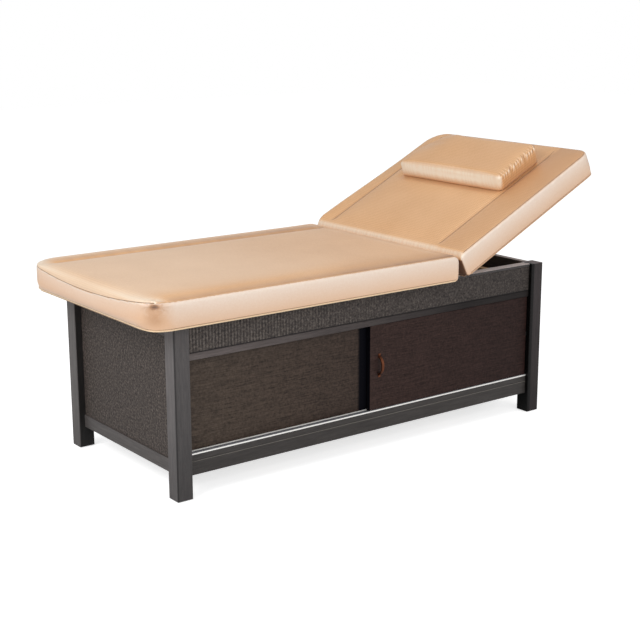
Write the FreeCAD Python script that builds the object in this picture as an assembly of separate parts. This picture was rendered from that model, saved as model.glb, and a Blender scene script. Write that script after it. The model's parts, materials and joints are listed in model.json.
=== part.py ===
import FreeCAD, Part
import math
import os

from FreeCAD import Vector

# Spa bed with a cabinet base, modelled with the backrest raised part of the way.
# Millimetres. X runs from the foot end to the head end, Y from the front to the back, Z up.
# The origin is on the floor under the middle of the overall length and width.

# ---- cabinet frame ----
CABINET_WIDTH = 665.0       # over the outer faces of the posts
CABINET_HEIGHT = 534.0      # floor to the tops of the posts and rails
HEAD_BAY_GAP = 51.0         # stay rail to the rails at the head end
POST_SIDE = 52.0
POST_ARRIS = 2.0
GLIDE_DIAMETER = 30.0
GLIDE_HEIGHT = 3.0
FRONT_RECESS = 14.0         # post face to rail face on the long sides
END_RECESS = 20.0           # post face to rail face on the short sides
RAIL_THICKNESS = 22.0
RAIL_ARRIS = 1.5
FLOOR_CLEARANCE = 69.5      # floor to the underside of the bottom rails
SIDE_RAIL_HEIGHT = 44.0
END_RAIL_HEIGHT = 41.5
TOP_RAIL_HEIGHT = 50.0
PANEL_THICKNESS = 9.0
PANEL_SETBACK = 4.0         # rail face to panel face

# ---- cabinet front ----
SILL_HEIGHT = 19.0
SILL_MARGIN = 2.5           # sill behind the track
HEADER_TOP = 439.0
HEADER_HEIGHT = 21.0
FASCIA_THICKNESS = 9.0
TRIM_HEIGHT = 10.0
TRIM_OVERHANG = 2.0

# ---- cabinet inside ----
FLOOR_THICKNESS = 16.0
BEARER_WIDTH = 30.0
BEARER_HEIGHT = 28.0
BEARER_COUNT = 3
DECK_THICKNESS = 16.0
PARTITION_THICKNESS = 18.0
PARTITION_SETBACK = 12.0    # partition behind the hinge axis

# ---- sliding doors and their track ----
DOOR_THICKNESS = 17.0
DOOR_SIDE_CLEARANCE = 0.75
DOOR_END_CLEARANCE = 0.3
DOOR_TOP_CLEARANCE = 0.7
DOOR_OVERLAP = 24.0
DOOR_ARRIS = 1.0
TRACK_RIB = 1.5
TRACK_HEIGHT = 6.5
TRACK_FLOOR = 1.5
RUNNER_LENGTH = 60.0
RUNNER_WIDTH = 10.0
RUNNER_HEIGHT = 2.5
RUNNER_CLEARANCE = 0.3
RUNNER_INSET = 70.0         # door end to runner or guide
GUIDE_LENGTH = 40.0
GUIDE_WIDTH = 8.0
GUIDE_HEIGHT = 8.0
GUIDE_CLEARANCE = 0.75
BUMPER_THICKNESS = 2.0
BUMPER_SIZE = 14.0
BUMPER_HEIGHT_ABOVE_TRACK = 140.0

# ---- bow handle on the front door ----
HANDLE_CENTRES = 64.0
HANDLE_REACH = 19.0         # door face to the middle of the bow
HANDLE_WIDTH = 9.0
HANDLE_THICKNESS = 4.0
HANDLE_FOOT_LENGTH = 14.0
HANDLE_FOOT_HEIGHT = 2.0
HANDLE_INSET = 37.0         # front door's free edge to the handle
HANDLE_LEVEL = 284.0

# ---- mattress ----
SIDE_OVERHANG = 61.0        # mattress past the posts on each long side
SEAT_LENGTH = 1152.0
FOOT_OVERHANG = 112.5       # seat cushion past the posts at the foot end
BACKREST_LENGTH = 666.0
CUSHION_HEIGHT = 80.0
BOARD_THICKNESS = 10.0
BOARD_INSET = 4.0
FOOT_CORNER_RADIUS = 85.0   # corners as seen from above
HEAD_CORNER_RADIUS = 44.0
HINGE_CORNER_RADIUS = 14.0
TOP_EDGE_RADIUS = 24.0      # where the two cushions meet at the hinge
SIDE_EDGE_RADIUS = 10.0     # top edge on the other three sides
REST_GAP = 0.5              # backrest board above the cabinet when flat

# ---- backrest movement ----
REST_ANGLE = 26.5
FULL_ANGLE = 60.0
CUSHION_CLEARANCE = 1.3     # between the rounded top edges at the full angle

# ---- piano hinge ----
KNUCKLE_DIAMETER = 6.0
KNUCKLE_PITCH = 95.0
KNUCKLE_COUNT = 7
KNUCKLE_GAP = 0.3
HINGE_PIN_DIAMETER = 3.0
RUNNING_CLEARANCE = 0.05    # round a pin or bolt that turns in its hole
LEAF_THICKNESS = 1.6
LEAF_CLEARANCE = 0.3
LEAF_NOTCH = 0.6            # leaf edge to the other leaf's knuckles

# ---- backrest frame and quadrant stays ----
BATTEN_WIDTH = 30.0
BATTEN_HEIGHT = 26.0
BATTEN_START = 40.0         # hinge axis to the near ends of the battens
BATTEN_LENGTH = 310.0
BATTEN_OUTER_Y = 150.0
STAY_THICKNESS = 4.0
STAY_RADIUS = 300.0
STAY_WIDTH = 34.0
STAY_BOLT_DIAMETER = 10.0
STAY_SLOT_CLEARANCE = 0.3
STAY_TAB_LENGTH = 90.0
STAY_TAB_MARGIN = 2.0
STAY_RAIL_THICKNESS = 22.0
STAY_RAIL_HEIGHT = 44.0
STAY_RAIL_CLEARANCE = 8.0   # outer edge of the quadrants to the stay rail
BRACKET_THICKNESS = 5.0
BRACKET_FLANGE = 28.0
BRACKET_MARGIN = 4.0
STAY_SIDE_CLEARANCE = 0.3
BOLT_HEAD_DIAMETER = 20.0
BOLT_HEAD_HEIGHT = 4.0
NUT_ACROSS_FLATS = 17.0
NUT_HEIGHT = 8.0
KNOB_RADIUS = 18.0
KNOB_SCALLOP_RADIUS = 7.0
KNOB_SCALLOP_DEPTH = 4.5
KNOB_HEIGHT = 16.0
KNOB_LOBES = 5
KNOB_BATTEN_CLEARANCE = 14.0

# ---- loose pillow ----
PILLOW_WIDTH = 530.0
PILLOW_DEPTH = 215.0
PILLOW_HEIGHT = 74.0        # at its back edge
PILLOW_FRONT_HEIGHT = 58.0
PILLOW_START = 350.0        # hinge end of the backrest cushion to the pillow
PILLOW_FRONT_CORNER = 20.0
PILLOW_BACK_CORNER = 46.0
PILLOW_EDGE = 16.0
PILLOW_CLEARANCE = 0.3

# ---- heights that follow ----
SIDE_RAIL_TOP = FLOOR_CLEARANCE + SIDE_RAIL_HEIGHT
END_RAIL_TOP = FLOOR_CLEARANCE + END_RAIL_HEIGHT
TOP_RAIL_BOTTOM = CABINET_HEIGHT - TOP_RAIL_HEIGHT
SILL_TOP = SIDE_RAIL_TOP + SILL_HEIGHT
HEADER_BOTTOM = HEADER_TOP - HEADER_HEIGHT
TRIM_BOTTOM = CABINET_HEIGHT - TRIM_HEIGHT
DOOR_BOTTOM = SILL_TOP + TRACK_FLOOR + RUNNER_HEIGHT + RUNNER_CLEARANCE
DOOR_TOP = HEADER_BOTTOM - DOOR_TOP_CLEARANCE
BOARD_TOP = CABINET_HEIGHT + BOARD_THICKNESS
MATTRESS_TOP = BOARD_TOP + CUSHION_HEIGHT
CUSHION_END_GAP = KNUCKLE_DIAMETER / 2 + LEAF_CLEARANCE


def axis_rise():
    """Height of the hinge axis over the centres of the rounded top edges.

    It is the least rise that keeps the two rounded edges apart at the full angle.
    """
    turn = math.radians(FULL_ANGLE)
    reach = TOP_EDGE_RADIUS + CUSHION_END_GAP
    apart = 2 * TOP_EDGE_RADIUS + CUSHION_CLEARANCE
    a = 2 - 2 * math.cos(turn)
    b = 4 * reach * math.sin(turn)
    c = reach ** 2 * (2 + 2 * math.cos(turn)) - apart ** 2
    return max(0.0, (-b + math.sqrt(max(0.0, b * b - 4 * a * c))) / (2 * a))


AXIS_Z = MATTRESS_TOP - TOP_EDGE_RADIUS + axis_rise()
UNDERSIDE_DEPTH = AXIS_Z - CABINET_HEIGHT
STAY_BOLT_DEPTH = UNDERSIDE_DEPTH + BATTEN_HEIGHT + KNOB_RADIUS + KNOB_BATTEN_CLEARANCE
STAY_BOLT_Z = AXIS_Z - STAY_BOLT_DEPTH


def backrest_reach():
    """Hinge axis to the foremost point of the raised backrest, which is the lower edge of its board."""
    turn = math.radians(REST_ANGLE)
    along = CUSHION_END_GAP + BACKREST_LENGTH - BOARD_INSET
    return along * math.cos(turn) + (UNDERSIDE_DEPTH - REST_GAP) * math.sin(turn)


# ---- places along X ----
STAY_RAIL_REACH = STAY_RADIUS + STAY_WIDTH / 2 + STAY_RAIL_CLEARANCE
HEAD_REACH = STAY_RAIL_REACH + STAY_RAIL_THICKNESS + HEAD_BAY_GAP + RAIL_THICKNESS + END_RECESS
OVERALL_LENGTH = SEAT_LENGTH + CUSHION_END_GAP + backrest_reach()
SEAT_X = -OVERALL_LENGTH / 2
SEAT_END_X = SEAT_X + SEAT_LENGTH
AXIS_X = SEAT_END_X + CUSHION_END_GAP
BACKREST_X = AXIS_X + CUSHION_END_GAP
FOOT_X = SEAT_X + FOOT_OVERHANG
HEAD_X = AXIS_X + HEAD_REACH
INNER_FOOT_X = FOOT_X + POST_SIDE
INNER_HEAD_X = HEAD_X - POST_SIDE
FOOT_RAIL_X = FOOT_X + END_RECESS
HEAD_RAIL_X = HEAD_X - END_RECESS - RAIL_THICKNESS
DOOR_FREE_LENGTH = INNER_HEAD_X - INNER_FOOT_X - 2 * BUMPER_THICKNESS - 2 * DOOR_END_CLEARANCE
DOOR_LENGTH = (DOOR_FREE_LENGTH + DOOR_OVERLAP) / 2
LEFT_DOOR_X = INNER_FOOT_X + BUMPER_THICKNESS + DOOR_END_CLEARANCE
RIGHT_DOOR_X = INNER_HEAD_X - BUMPER_THICKNESS - DOOR_END_CLEARANCE - DOOR_LENGTH
STAY_BOLT_ANGLE = math.degrees(math.asin(STAY_BOLT_DEPTH / STAY_RADIUS))
STAY_END_ANGLE = STAY_BOLT_ANGLE + FULL_ANGLE
STAY_BOLT_X = AXIS_X + STAY_RADIUS * math.cos(math.radians(STAY_BOLT_ANGLE))
STAY_TAIL_X = AXIS_X + STAY_RADIUS * math.cos(math.radians(STAY_END_ANGLE)) - STAY_WIDTH / 2
STAY_RAIL_X = AXIS_X + STAY_RAIL_REACH
PARTITION_X = min(AXIS_X, STAY_TAIL_X) - PARTITION_SETBACK - PARTITION_THICKNESS

# ---- places across Y ----
MATTRESS_WIDTH = CABINET_WIDTH + 2 * SIDE_OVERHANG
FRONT_Y = -CABINET_WIDTH / 2
BACK_Y = CABINET_WIDTH / 2
INNER_FRONT_Y = FRONT_Y + POST_SIDE
INNER_BACK_Y = BACK_Y - POST_SIDE
FACE_Y = FRONT_Y + FRONT_RECESS
FRONT_RAIL_BACK_Y = FACE_Y + FASCIA_THICKNESS + RAIL_THICKNESS
BACK_RAIL_Y = BACK_Y - FRONT_RECESS - RAIL_THICKNESS
GROOVE_WIDTH = DOOR_THICKNESS + 2 * DOOR_SIDE_CLEARANCE
TRACK_DEPTH = 3 * TRACK_RIB + 2 * GROOVE_WIDTH
SILL_BACK_Y = FACE_Y + TRACK_DEPTH + SILL_MARGIN
FRONT_GROOVE_Y = FACE_Y + TRACK_RIB
REAR_GROOVE_Y = FRONT_GROOVE_Y + GROOVE_WIDTH + TRACK_RIB
BRACKET_Y = BATTEN_OUTER_Y + STAY_THICKNESS + STAY_SIDE_CLEARANCE
BOLT_INNER_Y = BATTEN_OUTER_Y - STAY_SIDE_CLEARANCE
HINGE_LENGTH = KNUCKLE_COUNT * KNUCKLE_PITCH


# ---- helpers ----
def block(x0, x1, y0, y1, z0, z1):
    return Part.makeBox(x1 - x0, y1 - y0, z1 - z0, Vector(x0, y0, z0))


def eased(shape, size):
    """The shape with every edge chamfered by size."""
    return shape.makeChamfer(size, shape.Edges)


def eased_along(shape, direction, size):
    """The shape with only the edges along one direction chamfered."""
    picked = [e for e in shape.Edges if abs(e.tangentAt(e.FirstParameter).dot(direction)) > 0.99]
    return shape.makeChamfer(size, picked)


def drum(diameter, length, x, y, z):
    """A cylinder along +Y that starts at y."""
    return Part.makeCylinder(diameter / 2, length, Vector(x, y, z), Vector(0, 1, 0))


def polygon_face(points):
    return Part.Face(Part.makePolygon(points + [points[0]]))


def mirrored(shape):
    """The same piece on the other side of the bed's centre plane."""
    return shape.mirror(Vector(0, 0, 0), Vector(0, 1, 0))


def raised(shape):
    """A backrest piece, modelled flat, turned up to the rest angle about the hinge axis."""
    turned = shape.copy()
    turned.rotate(Vector(AXIS_X, 0, AXIS_Z), Vector(0, -1, 0), REST_ANGLE)
    return turned


def rounded_plan(x0, x1, y0, y1, z, r0, r1):
    """A rectangle seen from above, with radius r0 on its corners at x0 and r1 at x1."""
    corners = [(x0, y0, r0), (x1, y0, r1), (x1, y1, r1), (x0, y1, r0)]
    before = [(0, 1), (-1, 0), (0, -1), (1, 0)]
    after = [(1, 0), (0, 1), (-1, 0), (0, -1)]
    diagonal = 1 - math.sqrt(0.5)
    edges = []
    last = None
    first = None
    for (x, y, r), (bx, by), (ax, ay) in zip(corners, before, after):
        start = Vector(x + bx * r, y + by * r, z)
        end = Vector(x + ax * r, y + ay * r, z)
        middle = Vector(x + (bx + ax) * r * diagonal, y + (by + ay) * r * diagonal, z)
        if last is None:
            first = start
        else:
            edges.append(Part.makeLine(last, start))
        edges.append(Part.Arc(start, middle, end).toShape())
        last = end
    edges.append(Part.makeLine(last, first))
    return Part.Face(Part.Wire(edges))


def cushion(x0, x1, r0, r1, hinge_x):
    """A foam block from the board up, with rounded corners and top edges.

    The top edge at hinge_x, where it meets the other cushion, is rounded more than the others.
    """
    half = MATTRESS_WIDTH / 2
    body = rounded_plan(x0, x1, -half, half, BOARD_TOP, r0, r1).extrude(Vector(0, 0, CUSHION_HEIGHT))
    top = [e for e in body.Edges if e.BoundBox.ZMin > MATTRESS_TOP - 0.01]
    body = body.makeFillet(SIDE_EDGE_RADIUS, top)
    inward = 1 if hinge_x == x0 else -1
    centre_x = hinge_x + inward * TOP_EDGE_RADIUS
    corner = block(min(hinge_x, centre_x), max(hinge_x, centre_x), -half, half,
                   MATTRESS_TOP - TOP_EDGE_RADIUS, MATTRESS_TOP)
    round_edge = drum(2 * TOP_EDGE_RADIUS, 2 * half, centre_x, -half, MATTRESS_TOP - TOP_EDGE_RADIUS)
    return body.cut(corner.cut(round_edge))


# ---- cabinet frame ----
def post(x, y):
    body = block(x, x + POST_SIDE, y, y + POST_SIDE, GLIDE_HEIGHT, CABINET_HEIGHT)
    return eased_along(body, Vector(0, 0, 1), POST_ARRIS)


def leg_glides():
    half = POST_SIDE / 2
    pads = []
    for x in (FOOT_X + half, HEAD_X - half):
        for y in (FRONT_Y + half, BACK_Y - half):
            pads.append(Part.makeCylinder(GLIDE_DIAMETER / 2, GLIDE_HEIGHT, Vector(x, y, 0)))
    return Part.makeCompound(pads)


def side_rail(y, z0, z1):
    body = block(INNER_FOOT_X, INNER_HEAD_X, y, y + RAIL_THICKNESS, z0, z1)
    return eased_along(body, Vector(1, 0, 0), RAIL_ARRIS)


def end_rail(x, z0, z1):
    body = block(x, x + RAIL_THICKNESS, INNER_FRONT_Y, INNER_BACK_Y, z0, z1)
    return eased_along(body, Vector(0, 1, 0), RAIL_ARRIS)


def end_panel(x):
    return block(x, x + PANEL_THICKNESS, INNER_FRONT_Y, INNER_BACK_Y, END_RAIL_TOP, TOP_RAIL_BOTTOM)


def back_panel():
    y = BACK_Y - FRONT_RECESS - PANEL_SETBACK - PANEL_THICKNESS
    return block(INNER_FOOT_X, INNER_HEAD_X, y, y + PANEL_THICKNESS, SIDE_RAIL_TOP, TOP_RAIL_BOTTOM)


# ---- cabinet front ----
def sill_front():
    body = block(INNER_FOOT_X, INNER_HEAD_X, FACE_Y, SILL_BACK_Y, SIDE_RAIL_TOP, SILL_TOP)
    return eased_along(body, Vector(1, 0, 0), RAIL_ARRIS)


def header_front():
    """A strip with two grooves underneath, where the doors' top guides run."""
    body = block(INNER_FOOT_X, INNER_HEAD_X, FACE_Y, SILL_BACK_Y, HEADER_BOTTOM, HEADER_TOP)
    body = eased_along(body, Vector(1, 0, 0), RAIL_ARRIS)
    half = GUIDE_WIDTH / 2 + GUIDE_CLEARANCE
    depth = GUIDE_HEIGHT + GUIDE_CLEARANCE
    for groove_y in (FRONT_GROOVE_Y, REAR_GROOVE_Y):
        middle = groove_y + GROOVE_WIDTH / 2
        body = body.cut(block(INNER_FOOT_X, INNER_HEAD_X, middle - half, middle + half,
                              HEADER_BOTTOM, HEADER_BOTTOM + depth))
    return body


def fascia_front():
    body = block(INNER_FOOT_X, INNER_HEAD_X, FACE_Y, FACE_Y + FASCIA_THICKNESS, HEADER_TOP, TRIM_BOTTOM)
    return eased_along(body, Vector(1, 0, 0), RAIL_ARRIS)


def rail_top_front():
    body = block(INNER_FOOT_X, INNER_HEAD_X, FACE_Y + FASCIA_THICKNESS, FRONT_RAIL_BACK_Y,
                 HEADER_TOP, TRIM_BOTTOM)
    return eased_along(body, Vector(1, 0, 0), RAIL_ARRIS)


def trim_top_front():
    body = block(INNER_FOOT_X, INNER_HEAD_X, FACE_Y - TRIM_OVERHANG, FRONT_RAIL_BACK_Y,
                 TRIM_BOTTOM, CABINET_HEIGHT)
    return eased_along(body, Vector(1, 0, 0), RAIL_ARRIS)


# ---- cabinet inside ----
def bearers(x0, x1, y0, y1, z0, z1):
    """Cross bearers at equal distances between x0 and x1."""
    step = (x1 - x0) / (BEARER_COUNT + 1)
    half = BEARER_WIDTH / 2
    return Part.makeCompound([block(x0 + i * step - half, x0 + i * step + half, y0, y1, z0, z1)
                              for i in range(1, BEARER_COUNT + 1)])


def floor_bearers():
    return bearers(FOOT_RAIL_X + RAIL_THICKNESS, HEAD_RAIL_X, FACE_Y + RAIL_THICKNESS, BACK_RAIL_Y,
                   SIDE_RAIL_TOP - BEARER_HEIGHT, SIDE_RAIL_TOP)


def floor_board():
    return block(INNER_FOOT_X, INNER_HEAD_X, SILL_BACK_Y, BACK_RAIL_Y,
                 SIDE_RAIL_TOP, SIDE_RAIL_TOP + FLOOR_THICKNESS)


def partition():
    return block(PARTITION_X, PARTITION_X + PARTITION_THICKNESS, SILL_BACK_Y, BACK_RAIL_Y,
                 SIDE_RAIL_TOP + FLOOR_THICKNESS, CABINET_HEIGHT)


def deck_bearers():
    top = CABINET_HEIGHT - DECK_THICKNESS
    return bearers(FOOT_RAIL_X + RAIL_THICKNESS, PARTITION_X, FRONT_RAIL_BACK_Y, BACK_RAIL_Y,
                   top - BEARER_HEIGHT, top)


def deck_board():
    """The board under the seat cushion, notched around the foot posts."""
    body = block(FOOT_RAIL_X + RAIL_THICKNESS, PARTITION_X, FRONT_RAIL_BACK_Y, BACK_RAIL_Y,
                 CABINET_HEIGHT - DECK_THICKNESS, CABINET_HEIGHT)
    for y0, y1 in ((FRONT_Y, INNER_FRONT_Y), (INNER_BACK_Y, BACK_Y)):
        body = body.cut(block(FOOT_X, INNER_FOOT_X, y0, y1, 0, CABINET_HEIGHT))
    return body


# ---- sliding doors and their track ----
def track_bottom():
    """A flat aluminium extrusion with three upright ribs."""
    body = block(INNER_FOOT_X, INNER_HEAD_X, FACE_Y, FACE_Y + TRACK_DEPTH, SILL_TOP, SILL_TOP + TRACK_FLOOR)
    for i in range(3):
        y = FACE_Y + i * (GROOVE_WIDTH + TRACK_RIB)
        body = body.fuse(block(INNER_FOOT_X, INNER_HEAD_X, y, y + TRACK_RIB,
                               SILL_TOP, SILL_TOP + TRACK_HEIGHT))
    return body.removeSplitter()


def door(x, groove_y):
    y = groove_y + DOOR_SIDE_CLEARANCE
    body = block(x, x + DOOR_LENGTH, y, y + DOOR_THICKNESS, DOOR_BOTTOM, DOOR_TOP)
    return eased(body, DOOR_ARRIS)


def door_pair(x, groove_y, length, width, z0, z1):
    """The two equal runners or guides of a door that starts at x."""
    middle = groove_y + GROOVE_WIDTH / 2
    starts = (x + RUNNER_INSET, x + DOOR_LENGTH - RUNNER_INSET - length)
    return Part.makeCompound([block(s, s + length, middle - width / 2, middle + width / 2, z0, z1)
                              for s in starts])


def door_runners(x, groove_y):
    return door_pair(x, groove_y, RUNNER_LENGTH, RUNNER_WIDTH, DOOR_BOTTOM - RUNNER_HEIGHT, DOOR_BOTTOM)


def door_guides(x, groove_y):
    return door_pair(x, groove_y, GUIDE_LENGTH, GUIDE_WIDTH, DOOR_TOP, DOOR_TOP + GUIDE_HEIGHT)


def door_bumpers():
    """A pad on the foot post for the rear door and one on the head post for the front door."""
    z = DOOR_BOTTOM + BUMPER_HEIGHT_ABOVE_TRACK
    rear = REAR_GROOVE_Y + (GROOVE_WIDTH - BUMPER_SIZE) / 2
    front = FRONT_GROOVE_Y + (GROOVE_WIDTH - BUMPER_SIZE) / 2
    return Part.makeCompound([
        block(INNER_FOOT_X, INNER_FOOT_X + BUMPER_THICKNESS, rear, rear + BUMPER_SIZE, z, z + BUMPER_SIZE),
        block(INNER_HEAD_X - BUMPER_THICKNESS, INNER_HEAD_X, front, front + BUMPER_SIZE, z, z + BUMPER_SIZE)])


def door_handle():
    """A bow of flat strap, upright on the face of the front door, with a foot at each end."""
    x = RIGHT_DOOR_X + HANDLE_INSET - HANDLE_WIDTH / 2
    face = FRONT_GROOVE_Y + DOOR_SIDE_CLEARANCE
    radius = ((HANDLE_CENTRES / 2) ** 2 + HANDLE_REACH ** 2) / (2 * HANDLE_REACH)
    centre = Vector(x, face - HANDLE_REACH + radius, HANDLE_LEVEL)
    along = Vector(1, 0, 0)
    bow = Part.makeCylinder(radius + HANDLE_THICKNESS / 2, HANDLE_WIDTH, centre, along)
    bow = bow.cut(Part.makeCylinder(radius - HANDLE_THICKNESS / 2, HANDLE_WIDTH, centre, along))
    bow = bow.cut(block(x, x + HANDLE_WIDTH, face, face + 2 * radius,
                        HANDLE_LEVEL - 2 * radius, HANDLE_LEVEL + 2 * radius))
    for z in (HANDLE_LEVEL - HANDLE_CENTRES / 2, HANDLE_LEVEL + HANDLE_CENTRES / 2):
        bow = bow.fuse(block(x, x + HANDLE_WIDTH, face - HANDLE_FOOT_HEIGHT, face,
                             z - HANDLE_FOOT_LENGTH / 2, z + HANDLE_FOOT_LENGTH / 2))
    return bow.removeSplitter()


# ---- mattress ----
def base_board(x0, x1, z0, r0, r1):
    half = MATTRESS_WIDTH / 2 - BOARD_INSET
    face = rounded_plan(x0, x1, -half, half, z0, r0, r1)
    return face.extrude(Vector(0, 0, BOARD_TOP - z0))


def seat_base_board():
    end = AXIS_X - KNUCKLE_DIAMETER / 2
    return base_board(SEAT_X + BOARD_INSET, end, CABINET_HEIGHT,
                      FOOT_CORNER_RADIUS - BOARD_INSET, HINGE_CORNER_RADIUS)


def seat_cushion():
    return cushion(SEAT_X, SEAT_END_X, FOOT_CORNER_RADIUS, HINGE_CORNER_RADIUS, SEAT_END_X)


def backrest_base_board():
    start = AXIS_X + KNUCKLE_DIAMETER / 2
    end = BACKREST_X + BACKREST_LENGTH - BOARD_INSET
    return raised(base_board(start, end, CABINET_HEIGHT + REST_GAP,
                             HINGE_CORNER_RADIUS, HEAD_CORNER_RADIUS - BOARD_INSET))


def backrest_cushion():
    end = BACKREST_X + BACKREST_LENGTH
    return raised(cushion(BACKREST_X, end, HINGE_CORNER_RADIUS, HEAD_CORNER_RADIUS, BACKREST_X))


# ---- piano hinge ----
def hinge_leaf(side, bottom, parity):
    """One upright leaf, on the seat side (-1) or the backrest side (+1) of the axis.

    Its knuckles are those whose number has the given parity.
    """
    outer = AXIS_X + side * KNUCKLE_DIAMETER / 2
    inner = outer - side * LEAF_THICKNESS
    x0, x1 = min(outer, inner), max(outer, inner)
    y0 = -HINGE_LENGTH / 2
    radius = KNUCKLE_DIAMETER / 2
    leaf = block(x0, x1, y0 + KNUCKLE_GAP / 2, -y0 - KNUCKLE_GAP / 2, bottom, AXIS_Z - radius - LEAF_NOTCH)
    for i in range(KNUCKLE_COUNT):
        if i % 2 == parity:
            start = y0 + i * KNUCKLE_PITCH + KNUCKLE_GAP / 2
            length = KNUCKLE_PITCH - KNUCKLE_GAP
            leaf = leaf.fuse(block(x0, x1, start, start + length, bottom, AXIS_Z))
            leaf = leaf.fuse(drum(KNUCKLE_DIAMETER, length, AXIS_X, start, AXIS_Z))
    bore = HINGE_PIN_DIAMETER + 2 * RUNNING_CLEARANCE
    leaf = leaf.cut(drum(bore, HINGE_LENGTH, AXIS_X, y0, AXIS_Z))
    return leaf.removeSplitter()


def hinge_leaf_seat():
    return hinge_leaf(-1, CABINET_HEIGHT, 0)


def hinge_leaf_backrest():
    return raised(hinge_leaf(1, CABINET_HEIGHT + REST_GAP, 1))


def hinge_pin():
    return drum(HINGE_PIN_DIAMETER, HINGE_LENGTH, AXIS_X, -HINGE_LENGTH / 2, AXIS_Z)


# ---- backrest frame and quadrant stays ----
def batten(start, length, y0, y1):
    """One bar under the backrest board, from its distance to the hinge axis."""
    x0 = AXIS_X + start
    return raised(block(x0, x0 + length, y0, y1, CABINET_HEIGHT - BATTEN_HEIGHT, CABINET_HEIGHT + REST_GAP))


def cross_batten(start):
    inner = BATTEN_OUTER_Y - BATTEN_WIDTH
    return batten(start, BATTEN_WIDTH, -inner, inner)


def arc_point(radius, angle, y):
    """A point at an angle below the flat backrest, about the hinge axis."""
    turn = math.radians(angle)
    return Vector(AXIS_X + radius * math.cos(turn), y, AXIS_Z - radius * math.sin(turn))


def arc_band(y, thickness, width, start, end):
    """A curved band about the hinge axis with round ends centred at the two angles."""
    inner = STAY_RADIUS - width / 2
    outer = STAY_RADIUS + width / 2
    half = (start + end) / 2
    margin = math.degrees(width / 2 / STAY_RADIUS)
    edges = [
        Part.Arc(arc_point(outer, start, y), arc_point(outer, half, y), arc_point(outer, end, y)).toShape(),
        Part.Arc(arc_point(outer, end, y), arc_point(STAY_RADIUS, end + margin, y),
                 arc_point(inner, end, y)).toShape(),
        Part.Arc(arc_point(inner, end, y), arc_point(inner, half, y), arc_point(inner, start, y)).toShape(),
        Part.Arc(arc_point(inner, start, y), arc_point(STAY_RADIUS, start - margin, y),
                 arc_point(outer, start, y)).toShape()]
    return Part.Face(Part.Wire(edges)).extrude(Vector(0, thickness, 0))


def stay_quadrant():
    """The slotted quadrant on the back side, modelled flat and then raised."""
    y = BATTEN_OUTER_Y
    band = arc_band(y, STAY_THICKNESS, STAY_WIDTH, 0.0, STAY_END_ANGLE)
    over = block(AXIS_X, AXIS_X + 2 * STAY_RADIUS, y - 1, y + STAY_THICKNESS + 1,
                 CABINET_HEIGHT, AXIS_Z + STAY_RADIUS)
    band = band.cut(over)
    tab_end = AXIS_X + math.sqrt((STAY_RADIUS + STAY_WIDTH / 2) ** 2 - UNDERSIDE_DEPTH ** 2)
    tab = block(tab_end - STAY_TAB_LENGTH, tab_end, y, y + STAY_THICKNESS,
                CABINET_HEIGHT - BATTEN_HEIGHT + STAY_TAB_MARGIN, CABINET_HEIGHT)
    plate = band.fuse(tab)
    slot_width = STAY_BOLT_DIAMETER + 2 * STAY_SLOT_CLEARANCE
    plate = plate.cut(arc_band(y - 1, STAY_THICKNESS + 2, slot_width, STAY_BOLT_ANGLE, STAY_END_ANGLE))
    return raised(plate.removeSplitter())


def stay_rail():
    """The cross rail that carries both stay brackets."""
    return block(STAY_RAIL_X, STAY_RAIL_X + STAY_RAIL_THICKNESS, FRONT_RAIL_BACK_Y, BACK_RAIL_Y,
                 STAY_BOLT_Z - STAY_RAIL_HEIGHT / 2, STAY_BOLT_Z + STAY_RAIL_HEIGHT / 2)


def stay_bracket():
    """The angle bracket on the back side: a flange on the stay rail and a cheek beside the quadrant."""
    half = STAY_RAIL_HEIGHT / 2 - BRACKET_MARGIN
    outer_y = BRACKET_Y + BRACKET_THICKNESS
    flange = block(STAY_RAIL_X - BRACKET_THICKNESS, STAY_RAIL_X, BRACKET_Y, BRACKET_Y + BRACKET_FLANGE,
                   STAY_BOLT_Z - half, STAY_BOLT_Z + half)
    cheek = block(STAY_BOLT_X, STAY_RAIL_X, BRACKET_Y, outer_y, STAY_BOLT_Z - half, STAY_BOLT_Z + half)
    nose = drum(2 * half, BRACKET_THICKNESS, STAY_BOLT_X, BRACKET_Y, STAY_BOLT_Z)
    body = flange.fuse([cheek, nose]).removeSplitter()
    return body.cut(drum(STAY_BOLT_DIAMETER, BRACKET_THICKNESS, STAY_BOLT_X, BRACKET_Y, STAY_BOLT_Z))


def stay_bolt(length):
    """The bolt on the back side, which ends the given length inside the quadrant."""
    outer_y = BRACKET_Y + BRACKET_THICKNESS
    shank = drum(STAY_BOLT_DIAMETER, outer_y - BOLT_INNER_Y + length,
                 STAY_BOLT_X, BOLT_INNER_Y - length, STAY_BOLT_Z)
    head = drum(BOLT_HEAD_DIAMETER, BOLT_HEAD_HEIGHT, STAY_BOLT_X, outer_y, STAY_BOLT_Z)
    return shank.fuse(head).removeSplitter()


def stay_nut():
    """The lock nut on the back bolt."""
    y = BOLT_INNER_Y
    corner = NUT_ACROSS_FLATS / math.sqrt(3)
    points = [Vector(STAY_BOLT_X + corner * math.cos(math.radians(60 * i)), y,
                     STAY_BOLT_Z + corner * math.sin(math.radians(60 * i))) for i in range(6)]
    body = polygon_face(points).extrude(Vector(0, -NUT_HEIGHT, 0))
    return body.cut(drum(STAY_BOLT_DIAMETER, NUT_HEIGHT, STAY_BOLT_X, y - NUT_HEIGHT, STAY_BOLT_Z))


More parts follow.
